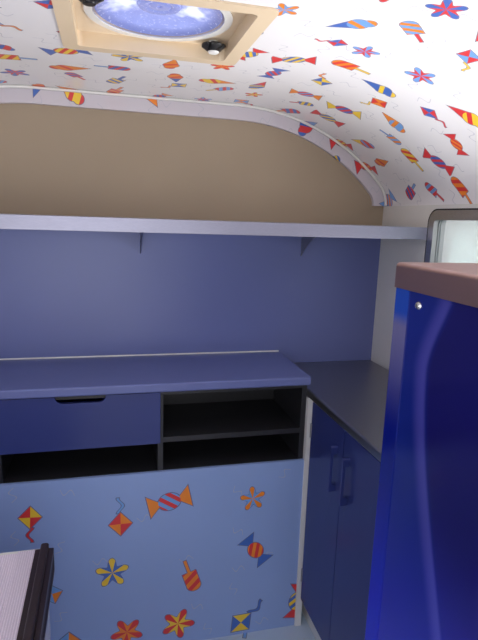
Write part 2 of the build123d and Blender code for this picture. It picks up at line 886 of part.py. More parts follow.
# Freezer lid: it turns on the back rail's knuckles and serves as a second worktop.
lid_low = freezer_rim + contact_gap
lid_left = hinge_x + hinge_radius + hinge_gap
lid_right = freezer_right + lid_overhang
lid_front = freezer_front - lid_end_overhang
lid_rear = freezer_rear + lid_end_overhang
with BuildPart() as freezer_lid:
    slab(level(lid_low), (lid_left, lid_front), (lid_right, lid_rear), lid_top - lid_low, freezer_corner)
    fillet(freezer_lid.faces().sort_by(Axis.Z)[-1].edges(), lid_edge_radius)
finish(freezer_lid, "freezer_lid")

# On the lid: a ribbed mat, and along the aisle a flat strip with an upright guard.
guard_left = lid_right - guard_inset - guard_width
strip_left = guard_left - strip_width
mat_front = lid_front + mat_end_margin
mat_rear = lid_rear - mat_end_margin
with BuildPart() as freezer_mat:
    slab(level(lid_top), (lid_left + mat_margin, mat_front), (strip_left, mat_rear), mat_thickness, mat_corner)
finish(freezer_mat, "freezer_mat")

with BuildPart() as freezer_rails:
    slab(level(lid_top), (strip_left, mat_front), (guard_left, mat_rear), strip_height)
    slab(level(lid_top), (guard_left, mat_front), (guard_left + guard_width, mat_rear), guard_height)
    fillet(freezer_rails.edges().filter_by(Axis.Y).group_by(Axis.Z)[-1], guard_edge_radius)
finish(freezer_rails, "freezer_rails")

# Serving cabinet under the hatch: a board carcass on a plinth that clears the wheel box, open for two doors.
serving_top = floor_top + counter_height - counter_thickness
door_bay_end = cabinet_front - base_panel_thickness - door_to_panel
plinth_x = serving_front_x + serving_plinth_inset
with BuildPart() as serving_cabinet:
    slab(
        level(over_arch),
        (serving_front_x, serving_front),
        (serving_right, serving_rear),
        serving_top - over_arch,
    )
    slab(
        level(over_arch + board),
        (serving_front_x + board, serving_front + board),
        (serving_right - board, serving_rear - board),
        serving_top - over_arch - 2 * board,
        mode=Mode.SUBTRACT,
    )
    slab(
        alongside(serving_front_x),
        (serving_front + board, over_arch + board),
        (door_bay_end - board, serving_top - board),
        board,
        mode=Mode.SUBTRACT,
    )
    slab(level(floor_top), (plinth_x, serving_front), (plinth_x + board, serving_rear), over_arch - floor_top)
    slab(
        level(floor_top),
        (cabinet_right, cabinet_front - serving_post_depth),
        (serving_front_x, cabinet_front),
        serving_top - floor_top,
    )
finish(serving_cabinet, "serving_cabinet")

with BuildPart() as serving_counter:
    slab(
        level(serving_top),
        (cabinet_right + contact_gap, serving_front - counter_end_overhang),
        (serving_right, serving_rear),
        counter_thickness,
    )
    fillet(serving_counter.edges().filter_by(Axis.Y).group_by(Axis.X)[0], counter_edge_radius)
finish(serving_counter, "serving_counter")

# Cabinet doors: name, hinge end and free end along the body. Each has a bow pull near its free edge.
door_middle = (serving_front + door_bay_end) / 2
doors = (
    ("cabinet_door_front", serving_front + door_reveal, door_middle - door_reveal / 2),
    ("cabinet_door_rear", door_bay_end - door_hinge_lap, door_middle + door_reveal / 2),
)
door_back = serving_front_x - contact_gap
door_face = alongside(door_back - door_thickness)
pull_high = serving_top - pull_drop
pull_low = pull_high - pull_length
for door_name, hinge_end, free_end in doors:
    inward = 1 if free_end > hinge_end else -1
    pull_y = free_end - inward * pull_from_edge
    pull_near = pull_y - pull_width / 2
    pull_far = pull_y + pull_width / 2
    door_low = (min(hinge_end, free_end), over_arch + door_reveal)
    door_high = (max(hinge_end, free_end), serving_top - door_reveal)
    with BuildPart() as door:
        slab(alongside(door_back), door_low, door_high, -door_thickness, door_corner)
        slab(door_face, (pull_near, pull_low), (pull_far, pull_high), -pull_reach, pull_corner)
        slab(
            door_face,
            (pull_near, pull_low + pull_foot),
            (pull_far, pull_high - pull_foot),
            pull_wall - pull_reach,
            pull_corner,
            Mode.SUBTRACT,
        )
    finish(door, door_name)

# Soft-serve machine: an upright cabinet on feet, louvred towards the cab, with panels, a front and a cap on it.
machine_right = half_inner - unit_gap
machine_left = machine_right - machine_width
machine_low = floor_top + machine_foot
cap_low = eave - machine_below_eave - cap_thickness
machine_middle = (machine_left + machine_right) / 2
body_rear = machine_rear - panel_thickness
with BuildPart() as machine_cabinet:
    slab(
        level(machine_low),
        (machine_left + panel_thickness, machine_front),
        (machine_right, body_rear),
        cap_low - machine_low,
    )
    for foot_x in (machine_left + machine_foot_inset, machine_right - machine_foot_inset):
        for foot_y in (machine_front + machine_foot_inset, machine_rear - machine_foot_inset):
            post(level(floor_top), (foot_x, foot_y), machine_foot_radius, machine_foot)
    for index in range(louvre_count):
        louvre_low = machine_low + louvre_level + index * louvre_pitch
        with BuildSketch(alongside(machine_middle - louvre_width / 2)):
            with BuildLine():
                Polyline(
                    (machine_front, louvre_low),
                    (machine_front, louvre_low + louvre_height),
                    (machine_front + louvre_depth, louvre_low + louvre_height),
                    close=True,
                )
            make_face()
        extrude(amount=louvre_width, mode=Mode.SUBTRACT)
finish(machine_cabinet, "machine_cabinet")

with BuildPart() as machine_side_panel:
    slab(alongside(machine_left), (machine_front, machine_low), (machine_rear, cap_low), panel_thickness)
    slab(
        alongside(machine_left),
        (machine_front + edge_strip, machine_low + edge_strip),
        (machine_rear - edge_strip, cap_low - panel_top_strip),
        panel_recess,
        mode=Mode.SUBTRACT,
    )
    rear_edges = machine_side_panel.edges().filter_by(Axis.Z).group_by(Axis.Y)[-1]
    fillet(rear_edges.sort_by(Axis.X)[0], side_panel_edge_radius)
finish(machine_side_panel, "machine_side_panel")

with BuildPart() as machine_front_plate:
    slab(
        across(machine_rear),
        (machine_left + panel_thickness, machine_low),
        (machine_right, cap_low),
        panel_thickness,
    )
finish(machine_front_plate, "machine_front_plate")

with BuildPart() as machine_cap:
    slab(
        level(cap_low),
        (machine_left - cap_proud, machine_front - cap_proud),
        (machine_right, machine_rear + cap_proud),
        cap_thickness,
        cap_corner,
    )
    fillet(machine_cap.faces().sort_by(Axis.Z)[-1].edges(), cap_edge_radius)
finish(machine_cap, "machine_cap")

# Dispensing head: a round flange, a nozzle block through it and the spout below.
head_low = cap_low - head_below_cap
head_high = head_low + head_height
nozzle_rear = machine_rear + nozzle_start + nozzle_depth
with BuildPart() as machine_head:
    post(across(machine_rear), (machine_middle, (head_low + head_high) / 2), head_radius, -head_depth)
    slab(
        across(machine_rear + nozzle_start),
        (machine_middle - nozzle_width / 2, head_low - nozzle_lap),
        (machine_middle + nozzle_width / 2, head_high + nozzle_lap),
        -nozzle_depth,
        nozzle_corner,
    )
    post(level(head_low), (machine_middle, machine_rear + spout_reach), spout_radius, -spout_drop)
finish(machine_head, "machine_head")

# Draw lever: a flat arm on the nozzle block with a round grip.
lever_high = head_high + lever_rise
with BuildPart() as draw_lever:
    slab(
        across(nozzle_rear),
        (machine_middle - lever_width / 2, head_high - lever_lap),
        (machine_middle + lever_width / 2, lever_high),
        -lever_thickness,
        lever_corner,
    )
    grip_centre = (machine_middle, nozzle_rear + lever_thickness / 2)
    post(level(lever_high - lever_lap), grip_centre, grip_radius, grip_length)
    fillet(draw_lever.edges().group_by(Axis.Z)[-1], grip_edge_radius)
finish(draw_lever, "draw_lever")

# Drip tray: a shallow dish under the spout.
tray_low = head_low - tray_below_head
with BuildPart() as drip_tray:
    slab(
        level(tray_low),
        (machine_middle - tray_width / 2, machine_rear),
        (machine_middle + tray_width / 2, machine_rear + tray_depth),
        tray_height,
        tray_corner,
    )
    slab(
        level(tray_low + tray_floor),
        (machine_middle - tray_width / 2 + tray_wall, machine_rear + tray_wall),
        (machine_middle + tray_width / 2 - tray_wall, machine_rear + tray_depth - tray_wall),
        tray_height,
        tray_corner - tray_floor,
        Mode.SUBTRACT,
    )
finish(drip_tray, "drip_tray")
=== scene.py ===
"""Serving compartment of an ice cream van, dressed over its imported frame.

In metres, with +X to the serving side, +Y to the rear and +Z up.
"""

import math

import bpy
from mathutils import Matrix, Vector


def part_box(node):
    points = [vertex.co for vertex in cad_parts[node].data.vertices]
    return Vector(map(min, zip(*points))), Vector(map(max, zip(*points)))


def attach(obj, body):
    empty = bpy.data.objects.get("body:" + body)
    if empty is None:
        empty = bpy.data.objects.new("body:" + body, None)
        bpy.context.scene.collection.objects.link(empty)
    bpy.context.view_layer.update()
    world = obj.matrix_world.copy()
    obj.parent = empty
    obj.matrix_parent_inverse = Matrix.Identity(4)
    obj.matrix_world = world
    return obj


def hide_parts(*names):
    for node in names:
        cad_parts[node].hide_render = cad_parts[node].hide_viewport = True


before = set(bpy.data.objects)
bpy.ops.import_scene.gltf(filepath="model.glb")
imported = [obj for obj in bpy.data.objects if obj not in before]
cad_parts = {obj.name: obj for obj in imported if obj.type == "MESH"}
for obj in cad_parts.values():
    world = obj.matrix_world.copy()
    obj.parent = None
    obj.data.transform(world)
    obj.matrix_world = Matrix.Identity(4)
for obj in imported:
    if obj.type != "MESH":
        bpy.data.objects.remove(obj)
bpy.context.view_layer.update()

# Camera: held just inside the open front at eye height, turned to the serving side and tipped down to take in
# the vent above and the freezer's lid below. Its roll is the photograph's own.
camera_place = (-0.12, -0.67, 1.608)
camera_yaw = -14.314
camera_tip = 79.054
camera_roll = 1.9
camera_focal = 525
camera_long_side = 640
camera_sensor = 36
camera_clip = 0.02
camera_data = bpy.data.cameras.new("view_camera")
camera_data.sensor_width = camera_sensor
camera_data.lens = camera_sensor * camera_focal / camera_long_side
camera_data.clip_start = camera_clip
camera = bpy.data.objects.new("view_camera", camera_data)
yaw_turn = Matrix.Rotation(math.radians(camera_yaw), 4, "Z")
tip_turn = Matrix.Rotation(math.radians(camera_tip), 4, "X")
roll_turn = Matrix.Rotation(math.radians(camera_roll), 4, "Z")
camera.matrix_world = Matrix.Translation(camera_place) @ yaw_turn @ tip_turn @ roll_turn
bpy.context.scene.collection.objects.link(camera)
bpy.context.scene.camera = camera
bpy.context.scene.view_settings.view_transform = "Standard"

# Studio: a pale floor under the body, a white surround and two large soft lamps. Small lamps stand for the
# daylight from the cab, at the two windows, off the counter and over the vent. Each lamp has its place, what
# it faces, its width and height, its power in watts, its spread in degrees, and whether it shows in metal.
lamps = (
    ("studio_key", (-3.2, -3.4, 4.6), (0, 0, 1.0), 3.0, 3.0, 150, 180, False),
    ("studio_fill", (4.0, 3.6, 3.8), (0, 0, 1.0), 3.0, 3.0, 80, 180, False),
    ("cab_daylight", (-0.3, -1.5, 1.3), (-0.5, 1.3, 1.3), 1.1, 1.5, 14, 180, True),
    ("offside_daylight", (-0.93, 0.50, 1.36), (-0.35, 0.75, 1.95), 0.6, 0.4, 1.6, 130, False),
    ("hatch_daylight", (0.93, 0.50, 1.36), (0.15, 0.40, 1.95), 0.7, 0.5, 5.4, 115, True),
    ("hatch_bounce", (0.64, 0.40, 1.12), (0.45, 0.35, 2.0), 0.5, 0.7, 1.7, 115, False),
    ("vent_daylight", (0.0, 0.59, 2.5), (0, 0.59, 2.0), 0.4, 0.4, 2, 180, False),
)
for lamp_name, place, target, width, height, power, spread, mirrored in lamps:
    lamp_data = bpy.data.lights.new(lamp_name, "AREA")
    lamp_data.shape = "RECTANGLE"
    lamp_data.size = width
    lamp_data.size_y = height
    lamp_data.energy = power
    lamp_data.spread = math.radians(spread)
    lamp = bpy.data.objects.new(lamp_name, lamp_data)
    lamp.location = place
    lamp.rotation_euler = (Vector(target) - Vector(place)).to_track_quat("-Z", "Y").to_euler()
    lamp.visible_camera = False
    lamp.visible_glossy = mirrored
    bpy.context.scene.collection.objects.link(lamp)


class Wire:
    """One output of a node. Python's operators on it add Math nodes."""

    def __init__(self, nodes, socket):
        self.nodes = nodes
        self.socket = socket

    def __add__(self, other):
        return self.nodes.maths("ADD", self, other)

    def __radd__(self, other):
        return self.nodes.maths("ADD", other, self)

    def __sub__(self, other):
        return self.nodes.maths("SUBTRACT", self, other)

    def __rsub__(self, other):
        return self.nodes.maths("SUBTRACT", other, self)

    def __mul__(self, other):
        return self.nodes.maths("MULTIPLY", self, other)

    def __rmul__(self, other):
        return self.nodes.maths("MULTIPLY", other, self)

    def __truediv__(self, other):
        return self.nodes.maths("DIVIDE", self, other)

    def __rtruediv__(self, other):
        return self.nodes.maths("DIVIDE", other, self)

    def __lt__(self, other):
        return self.nodes.maths("LESS_THAN", self, other)

    def __gt__(self, other):
        return self.nodes.maths("GREATER_THAN", self, other)

    def __abs__(self):
        return self.nodes.maths("ABSOLUTE", self)


class Nodes:
    """The nodes of a finish or of the surround."""

    def __init__(self, tree):
        self.tree = tree

    def plug(self, inlet, value):
        """Links a wire to a socket, or sets a plain value on it."""
        if isinstance(value, Wire):
            self.tree.links.new(value.socket, inlet)
        elif inlet.type == "RGBA" and len(value) == 3:
            inlet.default_value = (*value, 1)
        else:
            inlet.default_value = value

    def add(self, kind, settings, sockets):
        """Adds a node: its settings first, then its sockets' values or links. Returns its outputs by name."""
        node = self.tree.nodes.new(kind)
        for name, value in settings.items():
            if name == "stops":
                while len(node.color_ramp.elements) < len(value):
                    node.color_ramp.elements.new(1)
                for element, (place, colour) in zip(node.color_ramp.elements, value):
                    element.position = place
                    element.color = (*colour, 1)
            elif name == "interpolation":
                node.color_ramp.interpolation = value
            else:
                setattr(node, name, value)
        for name, value in sockets.items():
            inlets = [inlet for inlet in node.inputs if inlet.name == name and inlet.enabled]
            self.plug(node.inputs[name] if isinstance(name, int) else inlets[0], value)
        return {outlet.name: Wire(self, outlet) for outlet in node.outputs if outlet.enabled}

    def maths(self, operation, *values):
        """A Math node on wires and numbers."""
        return self.add("ShaderNodeMath", {"operation": operation}, dict(enumerate(values)))["Value"]

    def length(self, x, y):
        """The length of an offset in a plane."""
        return self.maths("SQRT", x * x + y * y)

    def mix(self, factor, first, second):
        """A colour between two colours."""
        sockets = {"Factor": factor, "A": first, "B": second}
        return self.add("ShaderNodeMix", {"data_type": "RGBA"}, sockets)["Result"]

    def ramp(self, value, low, high):
        """A soft step from 0 to 1 as a value goes from low to high."""
        sockets = {"Value": value, "From Min": low, "From Max": high}
        return self.add("ShaderNodeMapRange", {"interpolation_type": "SMOOTHSTEP"}, sockets)["Result"]

    def seen(self):
        """1 where the camera sees it, straight or in metal or glass, and 0 where it only gives light."""
        paths = self.add("ShaderNodeLightPath", {}, {})
        seen = self.maths("MAXIMUM", paths["Is Camera Ray"], paths["Is Glossy Ray"])
        return self.maths("MAXIMUM", seen, paths["Is Transmission Ray"])


class Finish(Nodes):
    """One surface finish: a material, its shader with the even values set, and the nodes that vary it."""

    def __init__(self, name, **even):
        self.material = bpy.data.materials.new(name)
        self.material.use_nodes = True
        super().__init__(self.material.node_tree)
        self.shader = self.tree.nodes["Principled BSDF"]
        self.set(**even)

    def set(self, **sockets):
        """Sets or links the shader's sockets. Underscores stand for the spaces in their names."""
        for name, value in sockets.items():
            self.plug(self.shader.inputs[name.replace("_", " ")], value)

    def place(self):
        """The point on the piece, in metres."""
        return self.add("ShaderNodeTexCoord", {}, {})["Object"]

    def axes(self):
        """The point's X, Y and Z as three wires."""
        parts = self.add("ShaderNodeSeparateXYZ", {}, {"Vector": self.place()})
        return parts["X"], parts["Y"], parts["Z"]

    def point(self, x, y):
        """A vector from two wires or numbers."""
        return self.add("ShaderNodeCombineXYZ", {}, {"X": x, "Y": y})["Vector"]

    def noise(self, scale, detail=2.0, stretch=(1, 1, 1)):
        """Soft noise between 0 and 1 over the piece, finer along an axis with a larger stretch."""
        at = self.add("ShaderNodeMapping", {}, {"Vector": self.place(), "Scale": stretch})["Vector"]
        return self.add("ShaderNodeTexNoise", {}, {"Vector": at, "Scale": scale, "Detail": detail})["Fac"]

    def relief(self, height, depth):
        """Bumps the surface by a height between 0 and 1, to a depth in metres."""
        bump = self.add("ShaderNodeBump", {}, {"Height": height, "Distance": depth, "Strength": 1.0})
        self.set(Normal=bump["Normal"])

    def coat(self, *names):
        """Puts the finish on CAD nodes in place of their plain material."""
        for name in names:
            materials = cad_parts[name].data.materials
            materials.clear()
            materials.append(self.material)


def mottled(name, colour, roughness, grain, tint=0.05, texture=0.00004, **even):
    """A finish whose colour and gloss drift a little, with a fine grain of a given scale in its surface."""
    stain_scale = 3.0
    gloss_scale = 9.0
    gloss_drift = 0.05
    finish = Finish(name, **even)
    deep = [channel * (1 - tint) for channel in colour]
    finish.set(Base_Color=finish.mix(finish.noise(stain_scale), colour, deep))
    finish.set(Roughness=roughness + (finish.noise(gloss_scale) - 0.5) * gloss_drift)
    finish.relief(finish.noise(grain, 3.0), texture)
    return finish


surround_light = 0.45
surround = bpy.data.worlds.new("surround")
surround.use_nodes = True
bpy.context.scene.world = surround
surround_nodes = Nodes(surround.node_tree)
surround_strength = surround_light + surround_nodes.seen() * (1 - surround_light)
background = surround.node_tree.nodes["Background"]
surround_nodes.plug(background.inputs["Color"], (1, 1, 1))
surround_nodes.plug(background.inputs["Strength"], surround_strength)

# Far out, where it is seen, the floor glows up to the surround's white.
floor_size = 40
paper_white = (0.82, 0.82, 0.81)
paper_glow = (0.60, 0.60, 0.59)
glow_start = 2.0
glow_end = 9.0
bpy.ops.object.select_all(action="DESELECT")
bpy.ops.mesh.primitive_plane_add(size=floor_size, location=(0, 0, 0))
studio_floor = bpy.context.object
studio_floor.name = "studio_floor"
studio_paper = mottled("studio_paper", paper_white, 0.9, 60.0, tint=0.01, Emission_Strength=1.0)
paper_x, paper_y, _ = studio_paper.axes()
paper_far = studio_paper.ramp(studio_paper.length(paper_x, paper_y), glow_start, glow_end)
studio_paper.set(Emission_Color=studio_paper.mix(paper_far * studio_paper.seen(), (0, 0, 0), paper_glow))
studio_floor.data.materials.append(studio_paper.material)

# Underframe: two folded steel rails with steel bearers across them, coated with satin black chassis paint
# that has gone a little dusty.
chassis_black = (0.022, 0.022, 0.024)
bearer_edge = 0.0012
edge_angle = math.radians(35)


def soften(width, *names):
    """Rounds a CAD node's sharp edges by a live bevel, its loose triangles first welded together."""
    weld_reach = 0.00002
    for name in names:
        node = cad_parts[name]
        weld = node.modifiers.new("weld", "WELD")
        weld.merge_threshold = weld_reach
        bevel = node.modifiers.new("edges", "BEVEL")
        bevel.width = width
        bevel.segments = 2
        bevel.limit_method = "ANGLE"
        bevel.angle_limit = edge_angle
        bevel.harden_normals = True


chassis_paint = mottled("chassis_paint", chassis_black, 0.45, 320.0, tint=0.5, texture=0.00015)
chassis_paint.coat("chassis_rails", "cross_bearers")
soften(bearer_edge, "cross_bearers")

# Floor deck: phenolic faced birch ply, cut out round the wheel boxes and bolted down to the bearers. Its
# edges show the stacked veneers.
veneer_waves = 2400
veneer_stretch = (1, 14, 1)
ply_pale = (0.50, 0.34, 0.18)
ply_dark = (0.24, 0.14, 0.07)
ply = Finish("birch_ply")
_, _, ply_z = ply.axes()
veneer = (ply.maths("SINE", ply_z * veneer_waves) > 0.2) * 0.5
ply_grain = ply.noise(30.0, 5.0, veneer_stretch)
ply.set(Base_Color=ply.mix(veneer + ply_grain * 0.4, ply_pale, ply_dark), Roughness=0.55 + ply_grain * 0.2)
ply.relief(ply_grain, 0.0002)
ply.coat("floor_deck")

# Printed sheet: a wipe-clean white laminate with a scattered fairground print, bonded to the ceiling and to
# the valance, whose ground is greyer with painted shade. It is used again, larger, on the rear unit's base
# and the floor, where its ground is painted blue and darker as shade. The ceiling's section is a flat and a
# cove on each side.
roof_flat_half = 0.34512
roof_cove_radius = 0.8
roof_cove_level = 1.208
print_red = (0.72, 0.035, 0.04)
print_orange = (0.88, 0.25, 0.02)
print_blue = (0.05, 0.14, 0.50)
print_yellow = (0.90, 0.60, 0.04)
print_sky = (0.16, 0.36, 0.74)
print_line = (0.08, 0.07, 0.16)
print_faint = (0.50, 0.50, 0.58)
line_half = 0.04
curl_size = 0.03
curl_spacing = 0.62
curl_line_half = 0.055


def printed_sheet(name, unroll, ground, pitch, reach):
    """The print on a ground colour. Unroll gives the flat sheet's two coordinates from its finish."""
    sheet = Finish(name, Roughness=0.36, Coat_Weight=0.25, Coat_Roughness=0.15)
    u, v = unroll(sheet)

    def scatter(scale, spread, shift):
        """The point from the middle of its cell of a loose grid, turned at random, and the cell's dice."""
        at = sheet.point(u / scale + shift, v / scale + shift * 0.37)
        flat = {"voronoi_dimensions": "2D", "feature": "F1"}
        cells = sheet.add("ShaderNodeTexVoronoi", flat, {"Vector": at, "Scale": 1.0, "Randomness": spread})
        apart = sheet.add("ShaderNodeVectorMath", {"operation": "SUBTRACT"}, {0: at, 1: cells["Position"]})
        offset = sheet.add("ShaderNodeSeparateXYZ", {}, {"Vector": apart["Vector"]})
        rolled = sheet.add("ShaderNodeTexWhiteNoise", {"noise_dimensions": "3D"}, {"Vector": cells["Color"]})
        first_dice = sheet.add("ShaderNodeSeparateColor", {}, {"Color": cells["Color"]})
        second_dice = sheet.add("ShaderNodeSeparateColor", {}, {"Color": rolled["Color"]})
        angle = first_dice["Red"] * (2 * math.pi)
        cosine, sine = sheet.maths("COSINE", angle), sheet.maths("SINE", angle)
        x, y = offset["X"] * scale, offset["Y"] * scale
        return x * cosine + y * sine, y * cosine - x * sine, first_dice, second_dice

    x, y, chances, more = scatter(pitch, 0.42, 3.7)
    size = (1.0 + (more["Blue"] - 0.5) * 0.35) * reach
    x, y = x / size, y / size

    def ellipse(centre_x, centre_y, long_half, short_half):
        """About how far the point lies outside an ellipse, in parts of the motif's half length."""
        across, up = (x - centre_x) / long_half, (y - centre_y) / short_half
        return (sheet.length(across, up) - 1.0) * min(long_half, short_half)

    def bar(low, high, half):
        """The same for a bar along the motif."""
        middle, length = (low + high) / 2, (high - low) / 2
        return sheet.maths("MAXIMUM", abs(x - middle) - length, abs(y) - half)

    def least(first, second):
        """The nearer of two shapes, which is their union."""
        return sheet.maths("MINIMUM", first, second)

    # Each motif is a body, a second shape and a stripe on the body: lolly, kite, flower, sweet, cornet.
    wave = y - sheet.maths("SINE", x * 8.0) * 0.12
    lolly = least(bar(-0.20, 0.70, 0.40), ellipse(0.68, 0.0, 0.36, 0.40))
    lolly_stick = bar(-1.0, -0.2, 0.08)
    lolly_stripe = sheet.maths("SINE", x * 11.0 + y * 6.0)
    kite = (abs(x - 0.38) / 0.62 + abs(y) / 0.56 - 1.0) * 0.45
    kite_tail = sheet.maths("MAXIMUM", abs(wave) - 0.06, abs(x + 0.60) - 0.40)
    kite_stripe = (x - 0.38) * y * 9.0
    around = sheet.maths("ARCTAN2", y, x)
    flower = sheet.length(x, y) - 0.56 - sheet.maths("COSINE", around * 5.0) * 0.20
    flower_middle = ellipse(0.0, 0.0, 0.24, 0.24)
    flower_stripe = sheet.maths("COSINE", around * 5.0) - 0.35
    sweet = ellipse(0.0, 0.0, 0.54, 0.44)
    sweet_ends = sheet.maths("MAXIMUM", abs(abs(x) - 0.76) - 0.26, abs(y) - (abs(x) - 0.36) * 0.85)
    sweet_stripe = sheet.maths("SINE", (x + y) * 11.0)
    scoops = least(ellipse(0.30, 0.0, 0.46, 0.48), ellipse(0.74, 0.02, 0.32, 0.32))
    cornet = sheet.maths("MAXIMUM", abs(y) - (x + 1.0) * 0.38, x - 0.12)
    scoop_stripe = sheet.maths("SINE", x * 8.0 - y * 4.0) - 0.4
    motifs = (
        (lolly, lolly_stick, lolly_stripe),
        (kite, kite_tail, kite_stripe),
        (flower, flower_middle, flower_stripe),
        (sweet, sweet_ends, sweet_stripe),
        (scoops, cornet, scoop_stripe),
    )
    body, second, stripe = 0.0, 0.0, 0.0
    kind = chances["Green"] * len(motifs)
    for number, (motif_body, motif_second, motif_stripe) in enumerate(motifs):
        chosen = (kind > number) * (kind < number + 1)
        body = body + chosen * motif_body
        second = second + chosen * motif_second
        stripe = stripe + chosen * motif_stripe

    palette = (print_red, print_orange, print_blue, print_red, print_yellow, print_sky)

    def pick(chance, ahead):
        """A colour of the palette by chance, the palette turned by some places."""
        turned_palette = palette[ahead:] + palette[:ahead]
        stops = [(number / len(palette), colour) for number, colour in enumerate(turned_palette)]
        steps = {"stops": stops, "interpolation": "CONSTANT"}
        return sheet.add("ShaderNodeValToRGB", steps, {"Fac": chance})["Color"]

    inside_body = body < 0.0
    inside_second = second < 0.0
    outline = least(body, second) < line_half

    # Between the motifs lie thin grey curls.
    curl_x, curl_y, _, curl_more = scatter(pitch * curl_spacing, 0.7, 9.1)
    curl_x, curl_y = curl_x / curl_size, curl_y / curl_size
    curl_line = abs(curl_y - sheet.maths("SINE", curl_x * 5.0) * 0.32) < curl_line_half
    curls = curl_line * (abs(curl_x) < 0.8) * (curl_more["Red"] > 0.35)

    worn_ground = [channel * 0.94 for channel in ground]
    colour = sheet.mix(sheet.noise(5.0), ground, worn_ground)
    colour = sheet.mix(curls * 0.7, colour, print_faint)
    colour = sheet.mix(outline * 0.8, colour, print_line)
    colour = sheet.mix(inside_second, colour, pick(more["Red"], 3))
    colour = sheet.mix(inside_body, colour, pick(chances["Blue"], 0))
    colour = sheet.mix(inside_body * (stripe > 0.0), colour, pick(chances["Blue"], 2))
    sheet.set(Base_Color=colour)
    sheet.relief(sheet.noise(420.0), 0.00003)
    return sheet


def unroll_ceiling(sheet):
    """Round the roof's section from its crown, and along the body. The valance carries on from it."""
    x, y, z = sheet.axes()
    beyond = abs(x) - roof_flat_half
    rise = z - roof_cove_level
    angle = sheet.maths("MAXIMUM", sheet.maths("ARCTAN2", beyond, rise), 0.0)
    along = sheet.maths("MINIMUM", abs(x), roof_flat_half) + angle * roof_cove_radius
    depth = roof_cove_radius - sheet.length(sheet.maths("MAXIMUM", beyond, 0.0), rise)
    return sheet.maths("SIGN", x) * along, y + depth


def unroll_upright(sheet):
    """Across the rear unit and up it."""
    x, _, z = sheet.axes()
    return x, z


def unroll_floor(sheet):
    """Across the floor and along it."""
    x, y, _ = sheet.axes()
    return x, y


# The sheets: what each lies on, how it unrolls, its ground, the pitch of its motifs and their half length.
sheets = (
    ("printed_ceiling", "roof_lining", unroll_ceiling, (0.86, 0.84, 0.86), 0.140, 0.048),
    # The valance's ground is the ceiling's with painted shade.
    ("printed_valance", "rear_valance", unroll_ceiling, (0.66, 0.61, 0.67), 0.140, 0.048),
    # The base's and the floor's blue grounds are painted shade.
    ("printed_base", "rear_base_panel", unroll_upright, (0.29, 0.41, 0.75), 0.23, 0.070),
    ("printed_floor", "floor_covering", unroll_floor, (0.52, 0.64, 0.80), 0.27, 0.080),
)
for sheet_name, sheet_node, sheet_unroll, sheet_ground, motif_pitch, motif_reach in sheets:
    printed_sheet(sheet_name, sheet_unroll, sheet_ground, motif_pitch, motif_reach).coat(sheet_node)

# Wheel boxes: half drums of primed sheet steel that stand in the deck over the wheels, with an extruded
# rubber lip pushed on round each arch outside.
primer_grey = (0.36, 0.37, 0.38)
rubber_black = (0.025, 0.025, 0.026)
arch_trim_edge = 0.0025
arch_primer = mottled("arch_primer", primer_grey, 0.6, 260.0, tint=0.15, texture=0.0002)
arch_primer.coat("wheel_boxes")
rubber = mottled("black_rubber", rubber_black, 0.6, 500.0, tint=0.3, texture=0.0001)
rubber.coat("arch_trims")
soften(arch_trim_edge, "arch_trims")

# Aluminium trim: satin anodised extrusions with lines drawn along them, bent for the front portal, straight
# for the rub rails and gutters, and mitred for the window frames.
trim_silver = (0.70, 0.71, 0.72)
trim_stretch = (6, 1, 6)
trim_edge = 0.0012


def brushed(name, colour, roughness, stretch):
    """Metal with a drawn or brushed grain, finest along the axes with the larger stretch."""
    grain_scale = 90.0
    deep_share = 0.72
    gloss_drift = 0.18
    scratch_depth = 0.00005
    finish = Finish(name, Metallic=1.0)
    grain = finish.noise(grain_scale, 4.0, stretch)
    deep = [channel * deep_share for channel in colour]
    finish.set(Base_Color=finish.mix(grain, colour, deep), Roughness=roughness + grain * gloss_drift)
    finish.relief(grain, scratch_depth)
    return finish


aluminium = brushed("satin_aluminium", trim_silver, 0.28, trim_stretch)
aluminium.coat("front_portal", "side_mouldings", "serving_window_frame", "offside_window_frame")
soften(trim_edge, "side_mouldings", "serving_window_frame", "offside_window_frame")

# Portal rivets: domed aluminium rivets, closed from inside through the portal's inner leg, up both sides and
# round the cove.
leg_inner = 0.956
leg_thickness = 0.004
leg_half_depth = 0.025
leg_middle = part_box("front_portal")[0].y + leg_half_depth
rivet_pitch = 0.13
rivet_lowest = 0.26
rivet_side_count = 11
rivet_ring = roof_cove_radius - leg_thickness
rivet_first_lean = 2
rivet_lean_step = 10.5
rivet_cove_count = 5
rivet_from_middle = 0.08
rivet_flat_count = 2
rivet_profile = ((0, 0.0026), (0.0022, 0.0023), (0.0038, 0.0012), (0.0045, 0), (0, 0))


def dress(piece, body, finish):
    """Gives a new piece its finish and its slot, and lets it ride a body."""
    piece.data.materials.clear()
    piece.data.materials.append(finish.material)
    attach(piece, body)


def blank(name):
    """Names the blank just added, fixes its place and size, and opens it with all of it selected."""
    piece = bpy.context.object
    piece.name = name
    bpy.ops.object.transform_apply(location=True, rotation=True, scale=True)
    bpy.ops.object.mode_set(mode="EDIT")
    bpy.ops.mesh.select_all(action="SELECT")
    return piece


def closed(angle=edge_angle):
    """Closes the open piece and shades it smooth between edges sharper than an angle."""
    bpy.ops.object.mode_set(mode="OBJECT")
    bpy.ops.object.shade_smooth_by_angle(angle=angle)


